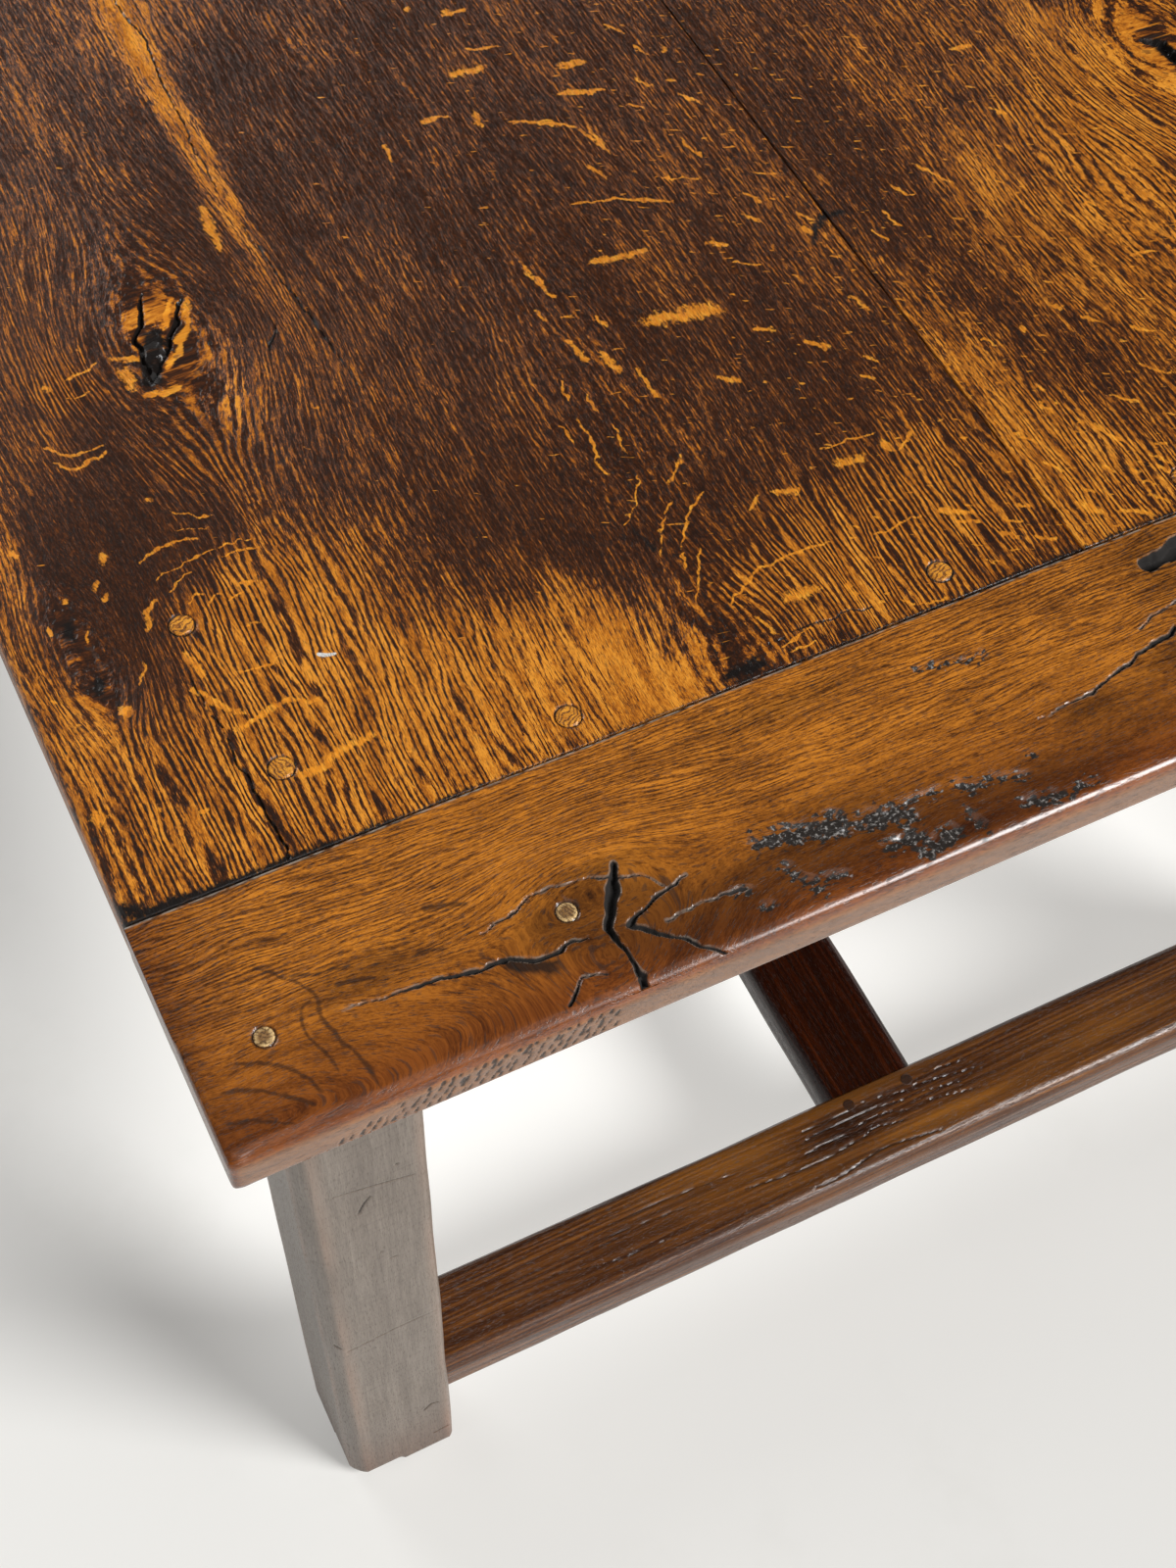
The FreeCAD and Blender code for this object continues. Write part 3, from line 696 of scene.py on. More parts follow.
stretcher_oak = oak(
    "stretcher_oak",
    STRETCHER_COLOURS,
    rings=(0.0050, 0.16, 0.50, 0.55, 0.22),
    finish=(0.22, 0.4, 0.15, 0.0003),
    dye=stretcher_dye,
)
STRETCHERS = {
    "end_stretcher_near": ("end_stretcher_near_bar", 0),
    "end_stretcher_far": ("end_stretcher_far_bar", 0),
    "centre_stretcher": ("centre_stretcher_bar", 1),
}
for number, (name, (piece_name, axis)) in enumerate(STRETCHERS.items()):
    low, high = (np.array(corner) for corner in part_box(name))
    steps = [STRETCHER_CROSS_STEP] * 3
    steps[axis] = STRETCHER_STEP
    stretcher = timber(piece_name, *(loops(low[a], high[a], steps[a], STRETCHER_RIM) for a in range(3)))
    lines = [drawn(half, path) for half, path in STRETCHER_LINES]
    refine(
        stretcher,
        STRETCHER_LINE_DETAIL,
        lambda spots: inside_any(from_end(spots), lines) > -STRETCHER_LINE_MARGIN,
    )
    spots = soften(points_of(stretcher), low, high, STRETCHER_ROUND)
    across = spots[:, 1 - axis] - spots[:, 2]
    move_points(stretcher, spots)
    places = from_end(spots)
    line = np.where(spots[:, 2] > high[2] - UPPER_BAND, inside_any(places, lines), -STROKE_REACH)
    wave = ridges(across, spots[:, axis], STRETCHER_RIDGE_WIDTH, STRETCHER_RIDGE_SPAN, 4.0 + number)
    depth = STRETCHER_RIDGE * wave + STRETCHER_WEAR * (0.5 + 0.5 * bumps(spots, STRETCHER_WEAR_SPAN, number))
    sink(stretcher, depth + STRETCHER_LINE_DEPTH * np.clip(line / STRETCHER_LINE_SOFTNESS + 0.5, 0.0, 1.0))
    straight_grain(stretcher, axis, 0.17 + 0.4 * number)
    tell(
        stretcher,
        # 1 on the centre stretcher, where it takes its painted shade.
        shade=np.full(len(spots), float(axis)),
        line=line,
        burl=(axis == 0) * add_areas(places, STRETCHER_BURL),
        amber=1.8 * (axis == 0) * add_areas(places, STRETCHER_AMBERS),
    )
    fit(stretcher, name, stretcher_oak)

# Rails and bearers: the frame under the top, sawn oak left rougher and duller than the rest.
# Rails are tenoned into the legs, and the two bearers cross between the side rails.
# The loose tongue, hidden in the joint between the planks, is made with them.
RAIL_STEP = 0.012
RAIL_RIM = (0.0010, 0.0024, 0.0040)
RAIL_ROUND = 0.002
RAIL_WEAR = 0.0004
RAIL_WEAR_SPAN = 0.05
SAW_PITCH = 0.016
SAW_DEPTH = 0.0002
SAW_DRIFT = 3.0
SAW_DRIFT_SPAN = 0.2
RAIL_COLOURS = [
    (0.00, (0.020, 0.011, 0.007)),
    (0.40, (0.055, 0.030, 0.018)),
    (0.70, (0.105, 0.058, 0.032)),
    (1.00, (0.190, 0.105, 0.055)),
]
frame_oak = oak("frame_oak", RAIL_COLOURS, (0.004, 0.10, 0.52, 0.30, 0.15), (0.5, 0.6, 0.3, 0.0005))
RAILS = {
    "end_rail_near": 0,
    "end_rail_far": 0,
    "side_rail_left": 1,
    "side_rail_right": 1,
    "cross_bearer_near": 0,
    "cross_bearer_far": 0,
    "plank_loose_tongue": 1,
}
for number, (name, axis) in enumerate(RAILS.items()):
    low, high = (np.array(corner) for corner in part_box(name))
    steps = [RAIL_STEP / 2] * 3
    steps[axis] = RAIL_STEP
    rail = timber(name + "_bar", *(loops(low[a], high[a], steps[a], RAIL_RIM) for a in range(3)))
    spots = soften(points_of(rail), low, high, RAIL_ROUND)
    move_points(rail, spots)
    drift = SAW_DRIFT * bumps(spots, SAW_DRIFT_SPAN, number)
    saw = 0.5 + 0.5 * np.sin(spots[:, axis] * 2 * math.pi / SAW_PITCH + drift)
    sink(rail, SAW_DEPTH * saw + RAIL_WEAR * (0.5 + 0.5 * bumps(spots, RAIL_WEAR_SPAN, number)))
    straight_grain(rail, axis, 0.23 + 0.3 * number)
    fit(rail, name, frame_oak)

# Planks: two wide oak planks, almost black with age, with amber streaks along the grain.
# They lie side by side on the frame and are pegged down to it, their ends tongued into the cross boards.
PLANK_STEP = 0.012
PLANK_RIM = (0.0006, 0.0016, 0.0030, 0.0048, 0.0070)
PLANK_ARRIS = 0.0045
PLANK_JOINT_ARRIS = 0.0008
PLANK_OUTER_FROM = 0.3
PLANK_WEAR = 0.0006
PLANK_WEAR_SPAN = 0.045
PLANK_DRIFT = 0.006
PLANK_DRIFT_SPAN = 0.08
PLANK_AMBER = 0.415
PLANK_AMBER_SPAN = 0.07
PLANK_AMBER_FINE_SPAN = 0.022
PLANK_AMBER_WEIGHT = 0.30
PLANK_COMB = 0.10
PLANK_STAIN_SOFTNESS = 0.004
CRACK_STAIN_SOFTNESS = 0.0008
PLANK_SEAM = 0.0004
PLANK_SEEN = (0.78, 0.74)
PLANK_DETAIL = 0.0032
FLECK_DETAIL = 0.0011
CRACK_DETAIL = 0.0008
FLECK_MARGIN = 0.002
CRACK_MARGIN = 0.004
CRACK_STEEPNESS = 2.4
PEG_MARGIN = 0.002
WAVE_REACH = 0.0013
WAVE_SPAN = 0.008
TEAR_REACH = 0.0006
TEAR_SPAN = 0.003
FLECK_RAGGEDNESS = 0.0014
LOOSE_FLECK_SIZE = (0.0100, 0.0030, 0.0030)
LOOSE_FLECK_SLANT = math.radians(-25)
PEG_GROOVE_WIDTH = 0.0007
PEG_GROOVE_DEPTH = 0.0009
PLANK_COLOURS = [
    (0.00, (0.0200, 0.0085, 0.0050)),
    (0.20, (0.0580, 0.0170, 0.0050)),
    (0.45, (0.1950, 0.0550, 0.0078)),
    (0.70, (0.4900, 0.1550, 0.0125)),
    (1.00, (0.7800, 0.3050, 0.0320)),
]
FLECK_COLOURS = [
    (0.32, (0.50, 0.150, 0.014)),
    (0.50, (0.82, 0.290, 0.020)),
    (0.70, (1.00, 0.480, 0.055)),
]
CHIP_COLOUR = (0.72, 0.71, 0.69)
PLANK_STAIN_COLOUR = (0.009, 0.0065, 0.0055)

# Places on the top are in metres from its near left corner: across, then along.
# Amber and dark areas: across, along, reach across, reach along, amount of amber.
LEFT_AREAS = [
    (0.045, 0.160, 0.050, 0.050, 0.58), (0.150, 0.155, 0.060, 0.040, 0.68),
    (0.200, 0.165, 0.040, 0.045, 0.62), (0.112, 0.248, 0.030, 0.028, 0.70),
    (0.247, 0.155, 0.012, 0.040, 0.86), (0.262, 0.130, 0.016, 0.010, 0.90),
    (0.400, 0.160, 0.070, 0.035, 0.56), (0.330, 0.155, 0.030, 0.025, 0.53),
    (0.270, 0.340, 0.040, 0.060, 0.44), (0.200, 0.340, 0.040, 0.060, 0.45),
    (0.194, 0.580, 0.007, 0.100, 0.85), (0.010, 0.300, 0.012, 0.300, 0.55),
    (0.240, 0.260, 0.050, 0.050, 0.37), (0.300, 0.210, 0.040, 0.030, 0.39),
    (0.300, 0.480, 0.100, 0.160, 0.40), (0.075, 0.590, 0.060, 0.150, 0.42),
    (0.131, 0.426, 0.050, 0.040, 0.46), (0.395, 0.280, 0.060, 0.050, 0.39),
    (0.055, 0.290, 0.035, 0.040, 0.33), (0.380, 0.470, 0.050, 0.060, 0.42),
]
# Areas where the rings show as even lines: across, along, reach across, reach along, strength.
LEFT_COMBS = [
    (0.112, 0.248, 0.034, 0.032, 0.34), (0.080, 0.415, 0.020, 0.020, 0.30),
    (0.120, 0.345, 0.030, 0.020, 0.25), (0.400, 0.165, 0.080, 0.050, 0.26),
    (0.100, 0.160, 0.100, 0.050, 0.26),
]
# Knots that the grain goes round: across, along, reach across, reach along, pull.
LEFT_KNOTS = [
    (0.131, 0.426, 0.050, 0.085, 1.15), (0.118, 0.240, 0.040, 0.060, 0.12),
    (0.296, 0.128, 0.045, 0.060, 0.70), (0.031, 0.274, 0.020, 0.030, 0.9),
    (0.033, 0.241, 0.016, 0.022, 0.9), (0.310, 0.300, 0.060, 0.120, 0.35),
]
# Flecks: half width, then the places that the stroke goes through.
LEFT_FLECKS = [
    (0.0010, [(0.072, 0.298), (0.087, 0.304), (0.103, 0.300)]),
    (0.0007, [(0.076, 0.285), (0.094, 0.292), (0.116, 0.292), (0.125, 0.288)]),
    (0.0008, [(0.108, 0.286), (0.116, 0.286), (0.127, 0.283)]),
    (0.0008, [(0.079, 0.277), (0.092, 0.284)]),
    (0.0009, [(0.084, 0.266), (0.089, 0.271), (0.093, 0.269)]),
    (0.0008, [(0.092, 0.263), (0.099, 0.267)]),
    (0.0008, [(0.099, 0.261), (0.111, 0.263)]),
    (0.0009, [(0.110, 0.268), (0.118, 0.266)]),
    (0.0009, [(0.102, 0.244), (0.110, 0.244)]),
    (0.0008, [(0.090, 0.223), (0.100, 0.219), (0.110, 0.221)]),
    (0.0015, [(0.062, 0.261), (0.065, 0.269), (0.072, 0.276)]),
    (0.0009, [(0.054, 0.246), (0.054, 0.241), (0.049, 0.234)]),
    (0.0028, [(0.072, 0.241), (0.076, 0.227)]),
    (0.0020, [(0.069, 0.223), (0.075, 0.211), (0.086, 0.198)]),
    (0.0017, [(0.078, 0.193), (0.089, 0.193), (0.101, 0.199), (0.120, 0.192)]),
    (0.0028, [(0.093, 0.160), (0.105, 0.158), (0.117, 0.164), (0.133, 0.164)]),
    (0.0018, [(0.012, 0.241), (0.013, 0.240)]),
    (0.0014, [(0.016, 0.223), (0.017, 0.223)]),
    (0.0022, [(0.033, 0.169), (0.034, 0.168)]),
    (0.0018, [(0.051, 0.160), (0.052, 0.160)]),
    (0.0030, [(0.037, 0.224), (0.039, 0.221)]),
    (0.0036, [(0.008, 0.177), (0.010, 0.174)]),
    (0.0024, [(0.023, 0.329), (0.024, 0.326)]),
    (0.0028, [(0.060, 0.309), (0.058, 0.305)]),
    (0.0014, [(0.051, 0.296), (0.048, 0.291)]),
    (0.0014, [(0.052, 0.288), (0.050, 0.284)]),
    (0.0018, [(0.034, 0.293), (0.035, 0.289)]),
    (0.0013, [(0.024, 0.282), (0.022, 0.275)]),
    (0.0013, [(0.038, 0.272), (0.035, 0.265)]),
    (0.0011, [(0.056, 0.384), (0.062, 0.376), (0.071, 0.372), (0.082, 0.374)]),
    (0.0013, [(0.057, 0.371), (0.065, 0.364), (0.075, 0.365), (0.081, 0.370)]),
    (0.0010, [(0.078, 0.419), (0.096, 0.424)]),
    (0.0026, [(0.069, 0.419), (0.070, 0.418)]),
    (0.0006, [(0.073, 0.409), (0.079, 0.406), (0.087, 0.408)]),
    (0.0016, [(0.088, 0.333), (0.089, 0.331)]),
    (0.0022, [(0.105, 0.423), (0.118, 0.417)]),
    (0.0038, [(0.106, 0.415), (0.107, 0.400)]),
    (0.0026, [(0.112, 0.394), (0.127, 0.392)]),
    (0.0018, [(0.133, 0.430), (0.146, 0.450)]),
    (0.0028, [(0.126, 0.406), (0.137, 0.417), (0.146, 0.431), (0.152, 0.447)]),
    (0.0006, [(0.095, 0.325), (0.101, 0.316), (0.114, 0.311)]),
    (0.0006, [(0.093, 0.310), (0.109, 0.305)]),
    (0.0032, [(0.178, 0.471), (0.182, 0.504)]),
    (0.0009, [(0.282, 0.292), (0.285, 0.279)]),
    (0.0010, [(0.292, 0.294), (0.294, 0.273), (0.289, 0.261), (0.292, 0.253)]),
    (0.0008, [(0.306, 0.282), (0.304, 0.262)]),
    (0.0011, [(0.326, 0.253), (0.323, 0.246), (0.314, 0.236)]),
    (0.0006, [(0.304, 0.250), (0.295, 0.233), (0.283, 0.224)]),
    (0.0006, [(0.310, 0.228), (0.298, 0.214), (0.289, 0.199)]),
    (0.0009, [(0.326, 0.227), (0.317, 0.222), (0.307, 0.209), (0.300, 0.200)]),
    (0.0008, [(0.301, 0.198), (0.298, 0.188)]),
    (0.0007, [(0.309, 0.197), (0.299, 0.180), (0.293, 0.169)]),
    (0.0010, [(0.306, 0.161), (0.312, 0.167), (0.331, 0.175), (0.352, 0.176), (0.364, 0.173)]),
    (0.0040, [(0.331, 0.153), (0.347, 0.153)]),
    (0.0030, [(0.356, 0.212), (0.366, 0.208)]),
    (0.0032, [(0.392, 0.215), (0.405, 0.212)]),
    (0.0008, [(0.392, 0.224), (0.404, 0.226), (0.419, 0.224)]),
    (0.0012, [(0.340, 0.206), (0.349, 0.213)]),
    (0.0018, [(0.361, 0.150), (0.362, 0.140)]),
    (0.0014, [(0.313, 0.151), (0.318, 0.138)]),
    (0.0006, [(0.315, 0.130), (0.335, 0.134)]),
    (0.0007, [(0.317, 0.125), (0.331, 0.128)]),
    (0.0009, [(0.385, 0.169), (0.413, 0.170)]),
    (0.0026, [(0.423, 0.169), (0.434, 0.161)]),
    (0.0010, [(0.425, 0.159), (0.435, 0.156)]),
    (0.0013, [(0.446, 0.152), (0.453, 0.146)]),
    (0.0018, [(0.440, 0.145), (0.446, 0.140)]),
    (0.0016, [(0.454, 0.137), (0.462, 0.131)]),
    (0.0010, [(0.457, 0.157), (0.463, 0.152)]),
    (0.0007, [(0.424, 0.134), (0.429, 0.132)]),
    (0.0010, [(0.377, 0.131), (0.383, 0.125), (0.398, 0.123)]),
    (0.0030, [(0.418, 0.217), (0.421, 0.211)]),
    (0.0014, [(0.424, 0.209), (0.434, 0.217)]),
    (0.0055, [(0.352, 0.335), (0.372, 0.333), (0.389, 0.328)]),
    (0.0028, [(0.344, 0.385), (0.357, 0.382), (0.374, 0.380)]),
    (0.0012, [(0.353, 0.427), (0.374, 0.422), (0.402, 0.407)]),
    (0.0014, [(0.431, 0.383), (0.437, 0.375)]),
    (0.0014, [(0.456, 0.373), (0.463, 0.363)]),
    (0.0018, [(0.453, 0.361), (0.456, 0.356)]),
    (0.0022, [(0.405, 0.371), (0.412, 0.366)]),
    (0.0010, [(0.411, 0.355), (0.422, 0.346)]),
    (0.0012, [(0.397, 0.309), (0.407, 0.304)]),
    (0.0022, [(0.417, 0.291), (0.426, 0.282)]),
    (0.0022, [(0.366, 0.288), (0.375, 0.281)]),
    (0.0013, [(0.437, 0.270), (0.442, 0.263)]),
    (0.0013, [(0.430, 0.260), (0.436, 0.255)]),
    (0.0014, [(0.452, 0.309), (0.457, 0.296)]),
    (0.0016, [(0.354, 0.590), (0.369, 0.590)]),
    (0.0016, [(0.337, 0.545), (0.355, 0.539)]),
    (0.0014, [(0.394, 0.523), (0.405, 0.522)]),
    (0.0018, [(0.389, 0.506), (0.408, 0.498)]),
    (0.0016, [(0.383, 0.477), (0.389, 0.453)]),
    (0.0016, [(0.363, 0.490), (0.381, 0.479)]),
    (0.0016, [(0.313, 0.396), (0.318, 0.368)]),
    (0.0012, [(0.305, 0.366), (0.307, 0.358)]),
    (0.0022, [(0.311, 0.341), (0.313, 0.323)]),
    (0.0024, [(0.322, 0.326), (0.325, 0.311)]),
    (0.0016, [(0.333, 0.310), (0.334, 0.289)]),
    (0.0011, [(0.296, 0.319), (0.293, 0.304)]),
    (0.0014, [(0.330, 0.349), (0.332, 0.342)]),
    (0.0010, [(0.304, 0.306), (0.302, 0.292)]),
    (0.0016, [(0.355, 0.559), (0.372, 0.554)]),
    (0.0034, [(0.338, 0.543), (0.357, 0.542)]),
    (0.0030, [(0.396, 0.526), (0.407, 0.524)]),
    (0.0016, [(0.385, 0.505), (0.404, 0.498)]),
    (0.0014, [(0.309, 0.516), (0.324, 0.514)]),
    (0.0012, [(0.350, 0.496), (0.373, 0.487)]),
    (0.0016, [(0.338, 0.512), (0.337, 0.499)]),
    (0.0016, [(0.284, 0.508), (0.284, 0.495)]),
    (0.0016, [(0.388, 0.478), (0.389, 0.453)]),
    (0.0014, [(0.375, 0.449), (0.380, 0.434)]),
    (0.0014, [(0.430, 0.545), (0.440, 0.535)]),
    (0.0014, [(0.439, 0.524), (0.441, 0.514)]),
    (0.0024, [(0.453, 0.515), (0.452, 0.513)]),
    (0.0012, [(0.428, 0.499), (0.433, 0.490)]),
    (0.0014, [(0.443, 0.479), (0.450, 0.467)]),
    (0.0010, [(0.415, 0.483), (0.422, 0.477)]),
    (0.0014, [(0.427, 0.448), (0.432, 0.429)]),
    (0.0009, [(0.401, 0.427), (0.426, 0.415)]),
    (0.0009, [(0.450, 0.409), (0.462, 0.402)]),
    (0.0014, [(0.438, 0.396), (0.445, 0.387)]),
    (0.0024, [(0.357, 0.593), (0.358, 0.589)]),
    (0.0022, [(0.339, 0.603), (0.340, 0.600)]),
]
# Cracks: the points of a stroke (across, along, half width), then its depth. Stains are such strokes alone.
LEFT_CRACKS = [
    ([(0.149, 0.447, 0.0008), (0.134, 0.423, 0.0016), (0.122, 0.409, 0.0022),
      (0.115, 0.400, 0.0010)], 0.0030),
    ([(0.133, 0.459, 0.0006), (0.126, 0.443, 0.0014), (0.119, 0.430, 0.0016),
      (0.117, 0.405, 0.0014)], 0.0030),
    ([(0.070, 0.233, 0.0003), (0.073, 0.191, 0.0006), (0.074, 0.150, 0.0007),
      (0.075, 0.121, 0.0008)], 0.0020),
    ([(0.195, 0.483, 0.0003), (0.203, 0.408, 0.0006), (0.207, 0.353, 0.0003)], 0.0012),
    ([(0.185, 0.411, 0.0004), (0.180, 0.404, 0.0009), (0.176, 0.397, 0.0004)], 0.0012),
    ([(0.196, 0.677, 0.0004), (0.200, 0.637, 0.0006), (0.196, 0.602, 0.0006),
      (0.193, 0.515, 0.0004)], 0.0014),
    ([(0.310, 0.135, 0.0004), (0.337, 0.136, 0.0005), (0.364, 0.134, 0.0004)], 0.0010),
]
LEFT_STAINS = [
    [(0.005, 0.127, 0.0050), (0.012, 0.124, 0.0034), (0.040, 0.122, 0.0022), (0.120, 0.121, 0.0014)],
    [(0.453, 0.349, 0.0018), (0.459, 0.358, 0.0026), (0.470, 0.364, 0.0030)],
    [(0.286, 0.126, 0.0030), (0.302, 0.127, 0.0050)],
    [(0.286, 0.219, 0.0020), (0.289, 0.206, 0.0024)],
    [(0.128, 0.430, 0.0050), (0.117, 0.404, 0.0060)],
    [(0.031, 0.278, 0.0030), (0.030, 0.271, 0.0034)],
    [(0.034, 0.244, 0.0026), (0.032, 0.237, 0.0034)],
    [(0.000, 0.1205, 0.0022), (0.030, 0.1205, 0.0034), (0.200, 0.1205, 0.0008), (0.470, 0.1205, 0.0018)],
]
LEFT_CHIP = [(0.128, 0.2150, 0.0014), (0.133, 0.2130, 0.0014)]
RIGHT_AREAS = [
    (0.500, 0.150, 0.050, 0.045, 0.58), (0.478, 0.190, 0.012, 0.100, 0.60),
    (0.540, 0.240, 0.030, 0.050, 0.44), (0.505, 0.350, 0.030, 0.060, 0.38),
    (0.580, 0.290, 0.060, 0.070, 0.58), (0.650, 0.370, 0.050, 0.060, 0.62),
    (0.690, 0.390, 0.050, 0.050, 0.58), (0.580, 0.450, 0.050, 0.060, 0.44),
]
RIGHT_COMBS = [(0.500, 0.150, 0.060, 0.060, 0.16), (0.650, 0.360, 0.060, 0.060, 0.16)]
RIGHT_KNOTS = [
    (0.700, 0.400, 0.050, 0.080, 1.1), (0.620, 0.330, 0.050, 0.080, 0.5),
]
RIGHT_FLECKS = [
    (0.0018, [(0.515, 0.185), (0.523, 0.168)]),
    (0.0018, [(0.499, 0.207), (0.503, 0.198)]),
    (0.0012, [(0.536, 0.162), (0.542, 0.158)]),
    (0.0014, [(0.506, 0.159), (0.510, 0.153)]),
    (0.0014, [(0.517, 0.151), (0.520, 0.147)]),
    (0.0016, [(0.530, 0.149), (0.535, 0.142)]),
    (0.0012, [(0.518, 0.142), (0.523, 0.139)]),
    (0.0015, [(0.516, 0.135), (0.523, 0.125)]),
    (0.0018, [(0.499, 0.133), (0.511, 0.123)]),
    (0.0010, [(0.489, 0.152), (0.495, 0.147)]),
    (0.0026, [(0.483, 0.146), (0.489, 0.135)]),
    (0.0010, [(0.497, 0.354), (0.501, 0.340)]),
    (0.0009, [(0.485, 0.344), (0.489, 0.334)]),
    (0.0024, [(0.595, 0.448), (0.606, 0.447)]),
    (0.0014, [(0.588, 0.400), (0.595, 0.390)]),
    (0.0012, [(0.530, 0.377), (0.540, 0.357)]),
    (0.0012, [(0.510, 0.369), (0.518, 0.357)]),
    (0.0018, [(0.596, 0.316), (0.600, 0.312)]),
    (0.0012, [(0.597, 0.273), (0.610, 0.270)]),
    (0.0016, [(0.542, 0.260), (0.545, 0.256)]),
    (0.0018, [(0.504, 0.218), (0.506, 0.213)]),
    (0.0014, [(0.515, 0.185), (0.523, 0.170)]),
    (0.0012, [(0.534, 0.196), (0.545, 0.186)]),
    (0.0012, [(0.558, 0.210), (0.570, 0.196)]),
    (0.0012, [(0.550, 0.248), (0.558, 0.238)]),
    (0.0016, [(0.519, 0.254), (0.519, 0.251)]),
    (0.0010, [(0.496, 0.256), (0.502, 0.248)]),
    (0.0012, [(0.479, 0.196), (0.486, 0.184)]),
    (0.0012, [(0.568, 0.233), (0.581, 0.221)]),
    (0.0014, [(0.482, 0.174), (0.487, 0.165)]),
    (0.0012, [(0.530, 0.158), (0.537, 0.148)]),
]
RIGHT_CRACKS = [
    ([(0.694, 0.411, 0.0015), (0.702, 0.403, 0.0030), (0.702, 0.390, 0.0036),
      (0.720, 0.380, 0.0020)], 0.0040),
]
RIGHT_STAINS = [
    [(0.470, 0.364, 0.0030), (0.484, 0.360, 0.0014)],
    [(0.700, 0.405, 0.0040), (0.704, 0.388, 0.0060)],
    [(0.470, 0.1205, 0.0016), (0.940, 0.1205, 0.0016)],
]


def ragged(places, seed, reach=TEAR_REACH):
    """Places shifted a little to and fro, so that strokes drawn over them come out jagged."""
    level = np.column_stack([places, np.full(len(places), seed)])
    wide = np.column_stack([bumps(level, WAVE_SPAN, seed), bumps(level, WAVE_SPAN, seed + 3)])
    fine = np.column_stack([bumps(level, TEAR_SPAN, seed + 5), bumps(level, TEAR_SPAN, seed + 8)])
    return places + WAVE_REACH * wide + reach * fine


def crack_depth(places, cracks):
    """How deep the top is sunk by its cracks, with steep sides."""
    sunk = [np.clip(CRACK_STEEPNESS * inside_stroke(places, path), 0.0, deep) for path, deep in cracks]
    return np.sum(sunk, axis=0)


def bend_round(across, places, knots):
    """Leads the grain round knots of (across, along, reach across, reach along, pull)."""
    bent = across.copy()
    for x, y, wide, long, pull in knots:
        away = places - (x, y)
        bent -= pull * away[:, 0] * np.exp(-((away / (wide, long)) ** 2).sum(axis=1))
    return bent


def blend_areas(places, areas, base):
    """Mixes the amounts of soft-edged areas over a base amount."""
    weight = PLANK_AMBER_WEIGHT + add_areas(places, [(*area[:4], 1.0) for area in areas])
    return (PLANK_AMBER_WEIGHT * base + add_areas(places, areas)) / weight


def peg_boxes(name):
    """The lowest and highest corners of each peg of a CAD node."""
    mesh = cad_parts[name].data
    spots = np.round(points_of(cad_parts[name]), 5)
    places, labels = np.unique(spots, axis=0, return_inverse=True)
    labels = labels.reshape(-1)
    owner = np.arange(len(places))
    faces = [labels[list(face.vertices)] for face in mesh.polygons]
    changed = True
    while changed:
        changed = False
        for corners in faces:
            least = owner[corners].min()
            if (owner[corners] != least).any():
                owner[corners] = least
                changed = True
    return [(places[owner == one].min(axis=0), places[owner == one].max(axis=0)) for one in np.unique(owner)]


TOP_PEG_NODES = [
    "end_rail_top_pegs_near", "end_rail_top_pegs_far", "side_rail_top_pegs_left", "side_rail_top_pegs_right",
    "leg_top_pegs_near", "leg_top_pegs_far", "bearer_top_pegs_near", "bearer_top_pegs_far",
    "breadboard_pegs_near", "breadboard_pegs_far",
]
top_pegs = []
for name in TOP_PEG_NODES:
    for low, high in peg_boxes(name):
        centre = (low + high)[:2] / 2 - np.array(cad_box[0])[:2]
        top_pegs.append((centre[0], centre[1], (high - low)[0] / 2))


def peg_rim(places):
    """How near each place lies to the rim of a peg in the top: 1 on the rim, 0 away from it."""
    near = np.zeros(len(places))
    for x, y, radius in top_pegs:
        gap = np.abs(np.linalg.norm(places - (x, y), axis=1) - radius) / PEG_GROOVE_WIDTH
        near = np.maximum(near, np.clip(1.4 - gap, 0.0, 1.0))
    return near


def near_peg(places, margin):
    """True where a place is on a peg in the top or within a margin of it."""
    return np.any([np.linalg.norm(places - (x, y), axis=1) < r + margin for x, y, r in top_pegs], axis=0)


def plank_dye(tree, colour, grain):
    """Golden ray flecks, dark stains and a chip of pale paint on the planks."""
    uneven = calc(tree, "SUBTRACT", noise_at(tree, scaled(tree, 560.0, 300.0), 4.0, 0.72), 0.5)
    inside = fade(tree, calc(tree, "MULTIPLY_ADD", uneven, 3.0, told(tree, "fleck")), 0.05, 0.55)
    turn = {"Vector": scaled(tree, 1.0, 1.0), "Scale": LOOSE_FLECK_SIZE}
    turn["Rotation"] = (0.0, 0.0, LOOSE_FLECK_SLANT)
    slanted = node(tree, "Mapping", turn, vector_type="TEXTURE").outputs[0]
    loose = calc(tree, "ADD", noise_at(tree, slanted, 2.0, 0.55), told(tree, "flecky"))
    inside = calc(tree, "MAXIMUM", inside, fade(tree, loose, 0.69, 0.73, 0.0, 0.85))
    gold = ramp(tree, noise_at(tree, scaled(tree, 300.0, 130.0), 5.0, 0.75), FLECK_COLOURS)
    kept = calc(tree, "MULTIPLY_ADD", grain["Streak"], 0.20, 0.78)
    colour = tint(tree, calc(tree, "MULTIPLY", inside, kept), colour, gold)
    dark = fade(tree, calc(tree, "MULTIPLY_ADD", uneven, 1.6, told(tree, "stain")), 0.30, 0.85)
    colour = tint(tree, dark, colour, PLANK_STAIN_COLOUR)
    return tint(tree, fade(tree, told(tree, "chip"), 0.0, 0.0005), colour, CHIP_COLOUR)


plank_oak = oak(
    "plank_oak",
    PLANK_COLOURS,
    rings=(0.0032, 0.032, None, 0.16, None),
    finish=(0.28, 0.55, 0.70, 0.0005),
    dye=plank_dye,
)


